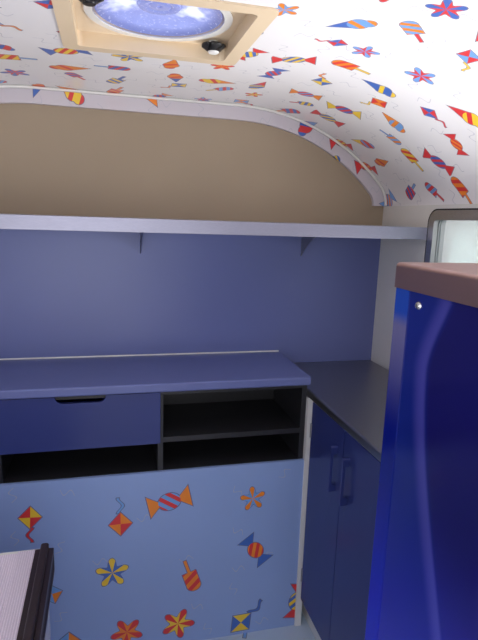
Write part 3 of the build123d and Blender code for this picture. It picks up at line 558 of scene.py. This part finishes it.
def turned(name, centre, profile, steps=48):
    """A lathe piece that stands on a centre: its profile, as radius and height, is drawn and spun upright."""
    speck = 0.001
    join_reach = 0.00001
    centre = Vector(centre)
    points = [centre + Vector((radius, 0, height)) for radius, height in profile]
    bpy.ops.object.select_all(action="DESELECT")
    bpy.ops.mesh.primitive_plane_add(size=speck, location=points[0])
    piece = blank(name)
    bpy.ops.mesh.merge(type="CENTER")
    for before, after in zip(points, points[1:]):
        bpy.ops.mesh.extrude_region_move(TRANSFORM_OT_translate={"value": after - before})
    bpy.ops.mesh.select_all(action="SELECT")
    bpy.ops.mesh.spin(steps=steps, angle=2 * math.pi, center=centre, axis=(0, 0, 1))
    bpy.ops.mesh.select_all(action="SELECT")
    bpy.ops.mesh.remove_doubles(threshold=join_reach)
    bpy.ops.mesh.normals_make_consistent(inside=False)
    closed()
    return piece


def facing(place, normal):
    """The transform that stands a piece made at the origin on a place, its top towards a direction."""
    return Matrix.Translation(place) @ Vector(normal).to_track_quat("Z", "Y").to_matrix().to_4x4()


def repeated(name, pattern, moves):
    """Copies a pattern by each transform, every copy with its own mesh, and joins the copies to one piece."""
    bpy.ops.object.select_all(action="DESELECT")
    for move in moves:
        copy = bpy.data.objects.new(name, pattern.data.copy())
        copy.data.transform(move)
        bpy.context.scene.collection.objects.link(copy)
        copy.select_set(True)
        bpy.context.view_layer.objects.active = copy
    bpy.data.objects.remove(pattern)
    bpy.ops.object.join()
    piece = bpy.context.view_layer.objects.active
    piece.name = name
    return piece


rivet_spots = []
for step in range(rivet_side_count):
    rivet_spots.append(((leg_inner, leg_middle, rivet_lowest + step * rivet_pitch), (-1, 0, 0)))
for step in range(rivet_cove_count):
    lean = math.radians(rivet_first_lean + step * rivet_lean_step)
    cove_x = roof_flat_half + rivet_ring * math.sin(lean)
    cove_z = roof_cove_level + rivet_ring * math.cos(lean)
    rivet_spots.append(((cove_x, leg_middle, cove_z), (-math.sin(lean), 0, -math.cos(lean))))
for step in range(rivet_flat_count):
    flat_x = rivet_from_middle + step * rivet_pitch
    rivet_spots.append(((flat_x, leg_middle, roof_cove_level + rivet_ring), (0, 0, -1)))
rivet_moves = []
for side in (-1, 1):
    for (spot_x, spot_y, spot_z), (normal_x, normal_y, normal_z) in rivet_spots:
        rivet_moves.append(facing((side * spot_x, spot_y, spot_z), (side * normal_x, normal_y, normal_z)))
rivet = turned("rivet", (0, 0, 0), rivet_profile, 20)
dress(repeated("portal_rivets", rivet, rivet_moves), "shell", aluminium)

# Body panels: glass fibre sandwich laid up in a mould, with a white gel coat outside and in. The gel coat has
# a slight ripple and yellows a little.
gel_white = (0.80, 0.79, 0.76)
gel_coat = mottled("gel_coat", gel_white, 0.22, 26.0, tint=0.05, texture=0.0003, Coat_Weight=0.5)
gel_coat.coat("wall_nearside", "wall_offside", "wall_rear", "roof_shell")

# Window glass: toughened clear panes that slide in the frames' grooves, with the green cast of thick glass
# and the smears of wiping.
glass_pale = (0.72, 0.84, 0.82)
glass_smeared = (0.62, 0.76, 0.75)
glass = Finish("window_glass", Roughness=0.02, Alpha=0.22, IOR=1.5)
glass.set(Base_Color=glass.mix(glass.noise(14.0, 4.0), glass_pale, glass_smeared))
glass.coat("serving_window_panes", "offside_window_panes")

# Window gaskets: black rubber bands pressed in round each window frame, on both faces of the wall, to keep
# the rain out of the sandwich.
gasket_band = 0.005
gasket_depth = 0.0022
gasket_corner = 0.046


def hoop(name, width, length, corner, band, depth):
    """A band round a rectangle at the origin, its corners rounded: inset, opened, extruded and beveled."""
    corner_steps = 8
    sharp_angle = math.radians(60)
    edge_share = 0.3
    bpy.ops.object.select_all(action="DESELECT")
    bpy.ops.mesh.primitive_plane_add(size=1, location=(0, 0, 0))
    bpy.context.object.scale = (width, length, 1)
    piece = blank(name)
    bpy.ops.mesh.bevel(offset=corner, segments=corner_steps, affect="VERTICES")
    bpy.ops.mesh.select_all(action="SELECT")
    bpy.ops.mesh.inset(thickness=band)
    bpy.ops.mesh.delete(type="ONLY_FACE")
    bpy.ops.mesh.select_all(action="SELECT")
    bpy.ops.mesh.extrude_region_move(TRANSFORM_OT_translate={"value": (0, 0, depth)})
    bpy.ops.mesh.select_all(action="SELECT")
    bpy.ops.mesh.normals_make_consistent(inside=False)
    bpy.ops.mesh.select_all(action="DESELECT")
    bpy.ops.mesh.select_mode(type="EDGE")
    bpy.ops.mesh.edges_select_sharp(sharpness=sharp_angle)
    bpy.ops.mesh.bevel(offset=min(band, depth) * edge_share, segments=2, affect="EDGES")
    bpy.ops.mesh.select_mode(type="VERT")
    closed()
    return piece


for window, wall in (("serving_window", "wall_nearside"), ("offside_window", "wall_offside")):
    frame_low, frame_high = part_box(f"{window}_frame")
    wall_low, wall_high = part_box(wall)
    middle = (frame_low + frame_high) / 2
    gasket_width = frame_high.y - frame_low.y + 2 * gasket_band
    gasket_length = frame_high.z - frame_low.z + 2 * gasket_band
    gasket = hoop("gasket", gasket_width, gasket_length, gasket_corner, gasket_band, gasket_depth)
    gasket_moves = (
        facing((wall_low.x, middle.y, middle.z), (-1, 0, 0)),
        facing((wall_high.x, middle.y, middle.z), (1, 0, 0)),
    )
    dress(repeated(f"{window}_gaskets", gasket, gasket_moves), "shell", rubber)

# Pane pulls: a moulded black finger grip with a shallow dish in its face, bonded near the front edge of each
# inner sliding pane.
pull_height = 0.09
pull_width = 0.014
pull_depth = 0.005
pull_inset = 0.030
pull_edge = 0.0015
pull_rim = 0.002
pull_dish = 0.0018


def block(name, low, high, rounding, segments=2):
    """A rounded bar between two corners."""
    low, high = Vector(low), Vector(high)
    bpy.ops.object.select_all(action="DESELECT")
    bpy.ops.mesh.primitive_cube_add(size=1, location=(low + high) / 2, scale=high - low)
    piece = blank(name)
    bpy.ops.mesh.bevel(offset=rounding, segments=segments, affect="EDGES")
    closed()
    return piece


def dish(piece, direction, rim, depth):
    """Sinks a finger dish into the largest face of a block that looks in a direction, inside a rim."""
    bpy.ops.object.mode_set(mode="EDIT")
    bpy.ops.mesh.select_all(action="DESELECT")
    bpy.ops.mesh.select_mode(type="FACE")
    bpy.ops.object.mode_set(mode="OBJECT")
    largest = max(piece.data.polygons, key=lambda face: face.area * face.normal.dot(Vector(direction)))
    largest.select = True
    bpy.ops.object.mode_set(mode="EDIT")
    bpy.ops.mesh.inset(thickness=rim)
    bpy.ops.mesh.inset(thickness=depth, depth=-depth)
    bpy.ops.mesh.select_mode(type="VERT")
    bpy.ops.object.mode_set(mode="OBJECT")


for window, inward in (("serving_window", -1), ("offside_window", 1)):
    pane_low, pane_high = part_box(f"{window}_panes")
    pane_face = pane_low.x if inward < 0 else pane_high.x
    pull_near, pull_far = sorted((pane_face, pane_face + inward * pull_depth))
    pull_front = pane_low.y + pull_inset
    pull_foot = (pane_low.z + pane_high.z - pull_height) / 2
    pull_low = (pull_near, pull_front, pull_foot)
    pull_high = (pull_far, pull_front + pull_width, pull_foot + pull_height)
    pull = block(f"{window}_pull", pull_low, pull_high, pull_edge)
    dish(pull, (inward, 0, 0), pull_rim, pull_dish)
    dress(pull, "shell", rubber)

# Rear lamps: a moulded lens cluster in each pocket of the rear wall, amber over red over clear, with the
# prisms inside the lens showing through.
lens_clear = (0.75, 0.74, 0.72)
lens_red = (0.55, 0.015, 0.012)
lens_amber = (0.85, 0.26, 0.02)
prism_shade = (0.10, 0.02, 0.02)
prism_waves = 900
lamp_edge = 0.002
lens = Finish("lamp_lens", Roughness=0.12, Coat_Weight=1.0)
lens_x, _, lens_z = lens.axes()
lamp_low, lamp_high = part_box("rear_lamps")
lens_stops = ((0.0, lens_clear), (0.333, lens_red), (0.666, lens_amber))
lens_thirds = {"stops": lens_stops, "interpolation": "CONSTANT"}
lens_level = (lens_z - lamp_low.z) / (lamp_high.z - lamp_low.z)
lens_colour = lens.add("ShaderNodeValToRGB", lens_thirds, {"Fac": lens_level})["Color"]
prism = lens.maths("SINE", lens_x * prism_waves) * lens.maths("SINE", lens_z * prism_waves) * 0.5 + 0.5
lens.set(Base_Color=lens.mix(prism * 0.35, lens_colour, prism_shade))
lens.relief(prism, 0.0006)
lens.coat("rear_lamps")
soften(lamp_edge, "rear_lamps")

# Roof vent: an ivory moulded frame with a recessed plate, pushed up through the ceiling, and the curb outside
# that its dome closes over.
ivory = (0.83, 0.66, 0.46)
vent_edge = 0.0015
vent_ivory = mottled("vent_ivory", ivory, 0.30, 90.0, tint=0.10, texture=0.00012, Coat_Weight=0.3)
vent_ivory.coat("vent_frame", "vent_curb")
soften(vent_edge, "vent_frame", "vent_curb")

# White trim: glossy white plastic, moulded for the vent's clamping ring with its two bosses and extruded for
# the bead along the ceiling's rear joint.
trim_pale = (0.84, 0.83, 0.80)
ring_edge = 0.0012
bead_edge = 0.0040
trim_white = mottled("trim_white", trim_pale, 0.16, 60.0, tint=0.04, Coat_Weight=0.6)
trim_white.coat("vent_ring", "lining_bead")
soften(ring_edge, "vent_ring")
soften(bead_edge, "lining_bead")

# Star knobs: black moulded hand knobs screwed into the ring's bosses, five tapered arms round a hub. Round
# caps are pressed into their ends, the far one white and the near one black.
plastic_black = (0.018, 0.018, 0.020)
cap_white = (0.80, 0.79, 0.77)
lever_edge = 0.0015
knob_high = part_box("vent_knobs")[1].z
cap_low, cap_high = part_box("vent_knob_caps")
cap_radius = 0.014
cap_showing = 0.004
hub_radius = 0.0152
hub_sides = 40
hub_depth = knob_high - cap_low.z - cap_showing
knob_arms = 5
arm_spread = math.radians(16)
arm_level = -0.0045
arm_steps = ((0.0085, (0.85, 0.85, 0.62)), (0.0060, (0.62, 0.62, 0.62)))
knob_edge = 0.0010
knob_edge_angle = math.radians(28)
knob_smooth_angle = math.radians(40)
knob_black = mottled("moulded_black", plastic_black, 0.34, 300.0, tint=0.3, texture=0.00008)
knob_black.coat("draw_lever")
soften(lever_edge, "draw_lever")
hub_middle = (0, 0, -hub_depth / 2)
bpy.ops.object.select_all(action="DESELECT")
bpy.ops.mesh.primitive_cylinder_add(
    vertices=hub_sides, radius=hub_radius, depth=hub_depth, location=hub_middle
)
star_knob = bpy.context.object
bpy.ops.object.transform_apply(location=True, rotation=True, scale=True)
for arm in range(knob_arms):
    outward = Matrix.Rotation(2 * math.pi * arm / knob_arms, 3, "Z") @ Vector((1, 0, 0))
    bpy.ops.object.mode_set(mode="EDIT")
    bpy.ops.mesh.select_mode(type="FACE")
    bpy.ops.mesh.select_all(action="DESELECT")
    bpy.ops.object.mode_set(mode="OBJECT")
    for face in star_knob.data.polygons:
        face.select = face.normal.dot(outward) > math.cos(arm_spread)
    bpy.ops.object.mode_set(mode="EDIT")
    arm_reach = hub_radius
    for step, narrowing in arm_steps:
        arm_reach += step
        arm_end = outward * arm_reach + Vector((0, 0, arm_level))
        bpy.ops.mesh.extrude_region_move(TRANSFORM_OT_translate={"value": outward * step})
        bpy.ops.transform.resize(value=narrowing, center_override=arm_end)
    bpy.ops.object.mode_set(mode="OBJECT")
bpy.ops.object.mode_set(mode="EDIT")
bpy.ops.mesh.select_all(action="DESELECT")
bpy.ops.mesh.select_mode(type="EDGE")
bpy.ops.mesh.edges_select_sharp(sharpness=knob_edge_angle)
bpy.ops.mesh.bevel(offset=knob_edge, segments=3, affect="EDGES")
bpy.ops.mesh.select_mode(type="VERT")
closed(knob_smooth_angle)
near_knob = Matrix.Translation((cap_low.x + cap_radius, cap_low.y + cap_radius, knob_high))
far_knob = Matrix.Translation((cap_high.x - cap_radius, cap_high.y - cap_radius, knob_high))
knob_moves = [
    near_knob @ Matrix.Rotation(math.pi / 2, 4, "Z"),
    far_knob @ Matrix.Rotation(math.pi, 4, "Z"),
]
star_knobs = repeated("star_knobs", star_knob, knob_moves)
dress(star_knobs, "shell", knob_black)
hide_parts("vent_knobs")
knob_cap = Finish("knob_cap", Roughness=0.3)
_, cap_y, _ = knob_cap.axes()
far_cap = cap_y > (cap_low.y + cap_high.y) / 2
knob_cap.set(Base_Color=knob_cap.mix(far_cap, plastic_black, cap_white))
knob_cap.relief(knob_cap.noise(200.0), 0.00006)
knob_cap.coat("vent_knob_caps")

# Vent dome: tinted blue moulding with a painted glow that stands for the sky's light through it, a painted
# patch of glare on each side of its hub, painted shade round the hub and towards the rim, and painted glints.
# Under its crown hangs the thin inner skin of the same plastic, turned as a shallow bowl with a pressed hub,
# which moves with the dome and clears the ring by 5 mm.
dome_deep = (0.21, 0.25, 0.58)
dome_pale = (0.34, 0.40, 0.76)
dome_shade = (0.12, 0.14, 0.34)
glare_white = (0.84, 0.90, 1.0)
glint_white = (0.8, 0.85, 1.0)
hub_foot_radius = 0.047
hub_rim_radius = 0.050
glare_hub_radius = 0.052
rim_start_radius = 0.108
rim_end_radius = 0.134
glare_from_hub = 0.076
glare_rearward = 0.008
glare_core = 0.012
glare_reach = 0.046
glare_waver = 0.06
dome_low, dome_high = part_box("vent_dome")
hub_x, hub_y = (dome_low.x + dome_high.x) / 2, (dome_low.y + dome_high.y) / 2
# The emission is a painted glow for the sky's light through the dome and its skin.
dome_tint = Finish("dome_tint", Roughness=0.18, Alpha=0.86, Coat_Weight=0.4, Emission_Strength=0.50)
dome_x, dome_y, _ = dome_tint.axes()
from_hub_x, from_hub_y = dome_x - hub_x, dome_y - hub_y
from_hub = dome_tint.length(from_hub_x, from_hub_y)
# Painted shade inside the hub and towards the rim.
hub_shade = dome_tint.ramp(from_hub, hub_rim_radius, hub_foot_radius) * 0.4
rim_shade = dome_tint.ramp(from_hub, rim_start_radius, rim_end_radius) * 0.7
# A painted patch of glare on each side of the hub.
from_glare = dome_tint.length(abs(from_hub_x) - glare_from_hub, from_hub_y - glare_rearward)
from_glare = from_glare + (dome_tint.noise(40.0, 1.0) - 0.5) * glare_waver
beyond_hub = dome_tint.ramp(from_hub, hub_foot_radius, glare_hub_radius)
glare = dome_tint.ramp(from_glare, glare_reach, glare_core) * beyond_hub * 0.85
# Painted white glints, which glow with the emission.
frosty_glints = dome_tint.ramp(dome_tint.noise(130.0), 0.58, 0.70) * 0.7
dome_colour = dome_tint.mix(dome_tint.noise(26.0, 3.0), dome_deep, dome_pale)
dome_colour = dome_tint.mix(hub_shade + rim_shade, dome_colour, dome_shade)
dome_colour = dome_tint.mix(glare, dome_colour, glare_white)
dome_tint.set(Base_Color=dome_colour, Emission_Color=dome_tint.mix(frosty_glints, dome_colour, glint_white))
dome_tint.relief(dome_tint.noise(160.0), 0.0012)
dome_tint.coat("vent_dome")
skin_profile = (
    (0, 0.0230), (0.004, 0.0230), (0.006, 0.0165), (0.022, 0.0150), (0.025, 0.0165), (0.028, 0.0150),
    (0.041, 0.0140), (0.045, 0.0155), (0.047, 0.0205), (0.060, 0.0200), (0.080, 0.0178), (0.100, 0.0142),
    (0.118, 0.0095), (0.130, 0.0045), (0.135, 0.0010), (0.137, 0.0010), (0.137, 0.0035), (0.128, 0.0085),
    (0.100, 0.0170), (0.060, 0.0228), (0.040, 0.0240), (0, 0.0250),
)
skin_place = (hub_x, hub_y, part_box("vent_ring")[1].z)
dress(turned("vent_inner_skin", skin_place, skin_profile, 72), "vent_lid", dome_tint)

# Brushed steel: stainless sheet with its grain along X, folded for the brackets, the counter, the machine's
# front and the freezer's back rail. The shelf's lip is the same sheet in its shade, and the machine's cap is
# tinted warm.
steel_grey = (0.42, 0.42, 0.45)
lip_grey = (0.34, 0.34, 0.44)
cap_warm = (0.50, 0.33, 0.30)
sheet_grain = (1, 26, 26)
sheet_edge = 0.0008
back_rail_edge = 0.0012
steel = brushed("brushed_steel", steel_grey, 0.30, sheet_grain)
steel.coat("shelf_brackets", "serving_counter", "machine_front_plate", "freezer_back_rail")
lip_steel = brushed("lip_steel", lip_grey, 0.34, sheet_grain)
lip_steel.coat("shelf_lip")
cap_steel = brushed("cap_steel", cap_warm, 0.32, sheet_grain)
cap_steel.coat("machine_cap")
soften(sheet_edge, "shelf_lip", "shelf_brackets", "machine_front_plate")
soften(back_rail_edge, "freezer_back_rail")

# Shelf board and rear linings: a shelf faced with grey laminate, beige painted board bonded to the wall above
# it, and a blue laminate splashback and worktop below.
shelf_grey = (0.36, 0.36, 0.40)
lining_beige = (0.42, 0.33, 0.235)
splash_blue = (0.15, 0.18, 0.42)
board_edge = 0.0008
shelf_laminate = mottled("shelf_laminate", shelf_grey, 0.35, 200.0, tint=0.1)
shelf_laminate.coat("rear_shelf")
beige_board = mottled("beige_board", lining_beige, 0.62, 160.0, tint=0.14, texture=0.00015)
beige_board.coat("rear_lining")
blue_laminate = mottled("blue_laminate", splash_blue, 0.30, 180.0, tint=0.10, Specular_IOR_Level=0.35)
blue_laminate.coat("rear_splashback", "rear_worktop")
soften(board_edge, "rear_worktop")

# Sealant: a white silicone bead run by hand along the joint of the worktop and the splashback, a little below
# the worktop's face at its root.
bead_size = 0.005
bead_root = 0.0005
bead_rounding = 0.002
worktop_low, worktop_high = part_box("rear_worktop")
sealant_low = (worktop_low.x, worktop_high.y - bead_size, worktop_high.z - bead_root)
sealant_high = (worktop_high.x, worktop_high.y, worktop_high.z + bead_size)
sealant = block("worktop_sealant", sealant_low, sealant_high, bead_rounding)
dress(sealant, "shell", trim_white)

# Rear unit and doors: a black laminated carcass, and glossy blue fronts on the drawers and on the serving
# cabinet's doors.
carcass_black = (0.022, 0.022, 0.028)
front_blue = (0.035, 0.05, 0.21)
front_edge = 0.0012
dark_board = mottled("dark_board", carcass_black, 0.42, 240.0, tint=0.3, texture=0.00008)
dark_board.coat("rear_cabinet")
soften(board_edge, "rear_cabinet")
blue_front = mottled("blue_front", front_blue, 0.26, 120.0, tint=0.12, Specular_IOR_Level=0.4)
blue_front.coat("drawer_left", "drawer_middle", "cabinet_door_front", "cabinet_door_rear")
soften(front_edge, "drawer_left", "drawer_middle", "cabinet_door_front", "cabinet_door_rear")

# Freezer: a white enamelled steel chest and lid, a pale ribbed rubber mat laid on the lid, and dark moulded
# strips along its aisle edge.
enamel_white = (0.80, 0.80, 0.80)
mat_pale = (0.88, 0.80, 0.92)
mat_deep = (0.58, 0.50, 0.64)
strip_dark = (0.030, 0.018, 0.022)
rib_waves = 1400
cross_waves = 1100
enamel = mottled("white_enamel", enamel_white, 0.24, 70.0, tint=0.04, texture=0.0001, Coat_Weight=0.4)
enamel.coat("freezer_body", "freezer_lid")
mat_weave = Finish("ribbed_mat", Roughness=0.7)
mat_x, mat_y, _ = mat_weave.axes()
mat_ribs = mat_weave.maths("SINE", mat_x * rib_waves) * 0.5 + 0.5
mat_cross = mat_weave.maths("SINE", mat_y * cross_waves) * 0.5 + 0.5
mat_grain = mat_weave.noise(600.0, 3.0)
mat_weave.set(Base_Color=mat_weave.mix(mat_ribs * 0.5 + mat_grain * 0.5, mat_pale, mat_deep))
mat_weave.relief(mat_ribs * 0.7 + mat_cross * 0.3, 0.0008)
mat_weave.coat("freezer_mat")
dark_strip = mottled("dark_strip", strip_dark, 0.38, 260.0, tint=0.35, texture=0.0001)
dark_strip.coat("freezer_rails")

# Mat border: a strip of the same mat lapped over most of the dark strip and glued down, so that the dark
# strip shows only beside the guard.
border_width = 0.031
border_lap = 0.003
border_root = 0.001
border_proud = 0.0046
border_rounding = 0.0015
rails_low, rails_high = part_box("freezer_rails")
mat_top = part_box("freezer_mat")[1].z
border_low = (rails_low.x - border_lap, rails_low.y, mat_top - border_root)
border_high = (rails_low.x + border_width, rails_high.y, mat_top + border_proud)
mat_border = block("mat_border", border_low, border_high, border_rounding, 3)
dress(mat_border, "lid", mat_weave)

# Lid edging: the guard's black profile turned down over the lid's aisle edge, with a shallow finger channel
# pressed along it.
edging_thickness = 0.004
edging_proud = 0.002
edging_above_foot = 0.004
edging_lap = 0.010
edging_rounding = 0.002
channel_rim = 0.008
channel_depth = 0.0015
lid_low, lid_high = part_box("freezer_lid")
edging_low = (rails_high.x - edging_thickness, rails_low.y, lid_low.z + edging_above_foot)
edging_high = (lid_high.x + edging_proud, rails_high.y, rails_low.z + edging_lap)
lid_edging = block("lid_edging", edging_low, edging_high, edging_rounding, 3)
dish(lid_edging, (1, 0, 0), channel_rim, channel_depth)
dress(lid_edging, "lid", dark_strip)

# Serving cabinet: white melamine faced board, edged and dowelled together, under the serving window's
# counter.
melamine_white = (0.76, 0.76, 0.77)
melamine = mottled("white_melamine", melamine_white, 0.38, 240.0, tint=0.03)
melamine.coat("serving_cabinet")
soften(board_edge, "serving_cabinet")

# Door hinges: two turned steel barrels on each door's own turning line, at the front end of the front door
# and the rear end of the rear one.
barrel_profile = ((0, -0.026), (0.003, -0.026), (0.004, -0.025), (0.004, 0.025), (0.003, 0.026), (0, 0.026))
barrel_levels = (0.34, 0.90)
hinge_depth = 0.016
for door_node, door_body, hinge_end in (
    ("cabinet_door_front", "front_door", 0.0),
    ("cabinet_door_rear", "rear_door", 1.0),
):
    door_low, door_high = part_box(door_node)
    hinge_x = door_high.x - hinge_depth
    hinge_y = door_low.y + (door_high.y - door_low.y) * hinge_end
    barrel = turned("barrel", (0, 0, 0), barrel_profile, 20)
    barrel_moves = [Matrix.Translation((hinge_x, hinge_y, level)) for level in barrel_levels]
    dress(repeated(f"{door_body}_barrels", barrel, barrel_moves), door_body, steel)

# Soft-serve machine: a case of grey enamelled sheet, a glossy deep blue side panel and a polished head. The
# panel's sheet is a little wavy. On it a pale painted reflection wanders down a crease with a fainter one
# beyond, painted shade darkens the sheet past them, painted light makes it bluer towards its foot, and a
# painted highlight runs along its rear edge.
case_grey = (0.45, 0.46, 0.48)
# Painted light and shade on the panel: the foot colours are painted light from below, the far top painted
# shade.
panel_near = (0.007, 0.018, 0.21)
panel_near_foot_lit = (0.019, 0.026, 0.54)
panel_far_shaded = (0.009, 0.008, 0.115)
panel_far_foot_lit = (0.030, 0.036, 0.58)
# The crease's colours are a painted reflection.
crease_reflection_top = (0.070, 0.068, 0.36)
crease_reflection_foot = (0.090, 0.100, 0.70)
faint_reflection_colour = (0.060, 0.030, 0.24)
# The rear edge's colours are a painted highlight.
edge_middle = (0.002, 0.007, 0.20)
edge_foot_lit = (0.003, 0.015, 0.62)
edge_highlight = (0.19, 0.18, 0.34)
edge_top_highlight = (0.012, 0.075, 0.50)
reflection_from_edge = 0.102
reflection_top_levels = (1.38, 1.56)
reflection_top_shift = 0.06
reflection_foot_levels = (1.40, 0.70)
reflection_foot_shift = 0.172
reflection_near_half = 0.035
reflection_far_half = 0.012
faint_reflection_on = 0.13
highlight_band = (0.046, 0.042)
steel_polish = (0.62, 0.62, 0.63)
head_edge = 0.0015
panel_low, panel_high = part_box("machine_side_panel")
machine_grey = mottled("machine_grey", case_grey, 0.34, 220.0, tint=0.06, texture=0.0001)
machine_grey.coat("machine_cabinet")
machine_blue = Finish("machine_blue", Specular_IOR_Level=0.3, Coat_Weight=0.2, Coat_Roughness=0.08)
_, blue_y, blue_z = machine_blue.axes()


def panel_blend(start, end, first, second):
    """A colour that goes from the first to the second between two levels on the panel."""
    return machine_blue.mix(machine_blue.ramp(blue_z, start, end), first, second)


from_edge = panel_high.y - blue_y
# A painted reflection runs down a crease, with a fainter one beyond it.
reflection_at = reflection_from_edge + machine_blue.ramp(blue_z, *reflection_top_levels) * reflection_top_shift
reflection_at = reflection_at + machine_blue.ramp(blue_z, *reflection_foot_levels) * reflection_foot_shift
beyond_reflection = from_edge - reflection_at
near_blue = panel_blend(1.20, 0.75, panel_near, panel_near_foot_lit)
far_blue = panel_blend(1.20, 0.80, panel_far_shaded, panel_far_foot_lit)
panel_colour = machine_blue.mix(machine_blue.ramp(beyond_reflection, 0.0, 0.02), near_blue, far_blue)
reflection_near = machine_blue.ramp(beyond_reflection, -reflection_near_half, 0.0)
crease_reflection = reflection_near * machine_blue.ramp(beyond_reflection, reflection_far_half, 0.0)
panel_colour = machine_blue.mix(crease_reflection * 0.8, panel_colour, panel_blend(1.20, 0.80, crease_reflection_top, crease_reflection_foot))
faint_reflection = machine_blue.ramp(abs(beyond_reflection - faint_reflection_on), reflection_near_half, 0.0)
faint_reflection = faint_reflection * machine_blue.ramp(blue_z, 1.20, 0.90)
panel_colour = machine_blue.mix(faint_reflection * 0.5, panel_colour, faint_reflection_colour)
# A painted highlight along the rear edge.
edge_highlight_colour = panel_blend(1.22, 0.85, edge_middle, edge_foot_lit)
edge_highlight_colour = panel_blend(1.25, 1.46, edge_highlight_colour, edge_highlight)
edge_highlight_colour = panel_blend(1.435, 1.465, edge_highlight_colour, edge_top_highlight)
on_highlight = machine_blue.ramp(from_edge, *highlight_band) * 0.8
panel_colour = machine_blue.mix(on_highlight, panel_colour, edge_highlight_colour)
machine_blue.set(Base_Color=panel_colour, Roughness=0.16 + machine_blue.noise(4.0) * 0.06)
machine_blue.relief(machine_blue.noise(5.0, 1.0, (1, 2, 1)), 0.004)
machine_blue.coat("machine_side_panel")
soften(sheet_edge, "machine_side_panel")
polished = mottled("polished_steel", steel_polish, 0.10, 120.0, tint=0.06, Metallic=1.0)
polished.coat("machine_head", "drip_tray")
soften(head_edge, "machine_head", "drip_tray")

# Side panel screws: chromed dome heads near the panel's corners, driven into the case, each with a round
# driver socket in its top.
screw_profile = (
    (0, 0.0012), (0.0022, 0.0012), (0.0026, 0.0042), (0.0052, 0.0034), (0.0068, 0.0012), (0.0072, 0),
    (0, 0),
)
screw_from_end = 0.071
screw_from_top = 0.021
screw_from_foot = 0.071
screw_recess = 0.0015
screw_moves = [
    facing((panel_low.x + screw_recess, screw_y, screw_z), (-1, 0, 0))
    for screw_y in (panel_high.y - screw_from_end, panel_low.y + screw_from_end)
    for screw_z in (panel_high.z - screw_from_top, panel_low.z + screw_from_foot)
]
panel_screw = turned("panel_screw", (0, 0, 0), screw_profile, 28)
dress(repeated("panel_screws", panel_screw, screw_moves), "shell", polished)

# Head nuts: four dome nuts on the dispensing head's flange, two on each side of the nozzle block, which clamp
# the head to the freezing barrel.
flange_depth = 0.070
spout_below_block = 0.030
nut_reach = 0.066
nut_angles = (20, 160, 200, 340)
nut_profile = (
    (0, 0.016), (0.004, 0.0155), (0.007, 0.013), (0.008, 0.009), (0.008, 0.002), (0.011, 0.0015),
    (0.011, 0), (0, 0),
)
head_low, head_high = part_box("machine_head")
head_x = (head_low.x + head_high.x) / 2
head_z = (head_low.z + spout_below_block + head_high.z) / 2
nut_moves = []
for nut_angle in nut_angles:
    nut_x = head_x + nut_reach * math.cos(math.radians(nut_angle))
    nut_z = head_z + nut_reach * math.sin(math.radians(nut_angle))
    nut_moves.append(facing((nut_x, head_low.y + flange_depth, nut_z), (0, 1, 0)))
nut = turned("nut", (0, 0, 0), nut_profile, 24)
dress(repeated("head_nuts", nut, nut_moves), "shell", polished)

# Tray grate: round steel bars across the drip tray just below its rim, their ends let into its walls, so that
# spills run through.
tray_wall = 0.006
grate_bars = 9
grate_half = 0.0015
grate_rounding = 0.001
grate_let_in = 0.001
grate_below_rim = 0.006
tray_low, tray_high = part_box("drip_tray")
grate_pitch = (tray_high.y - tray_low.y - 4 * tray_wall) / (grate_bars - 1)
bar_low = (tray_low.x + tray_wall - grate_let_in, -grate_half, -grate_half)
bar_high = (tray_high.x - tray_wall + grate_let_in, grate_half, grate_half)
grate_moves = [
    Matrix.Translation((0, tray_low.y + 2 * tray_wall + step * grate_pitch, tray_high.z - grate_below_rim))
    for step in range(grate_bars)
]
grate_bar = block("grate_bar", bar_low, bar_high, grate_rounding)
dress(repeated("tray_grate", grate_bar, grate_moves), "shell", polished)

# Foot pads: flared rubber pads pushed on round the machine's feet, which stop it creeping on the floor
# covering and take up the shake of the road.
pad_profile = ((0, 0), (0.030, 0), (0.030, 0.004), (0.024, 0.010), (0.0205, 0.016), (0, 0.016))
foot_inset = 0.055
floor_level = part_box("floor_covering")[1].z
case_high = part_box("machine_cabinet")[1]
pad_moves = [
    Matrix.Translation((pad_x, pad_y, floor_level))
    for pad_x in (panel_low.x + foot_inset, case_high.x - foot_inset)
    for pad_y in (panel_low.y + foot_inset, panel_high.y - foot_inset)
]
pad = turned("pad", (0, 0, 0), pad_profile, 32)
dress(repeated("foot_pads", pad, pad_moves), "shell", rubber)

bpy.context.view_layer.update()
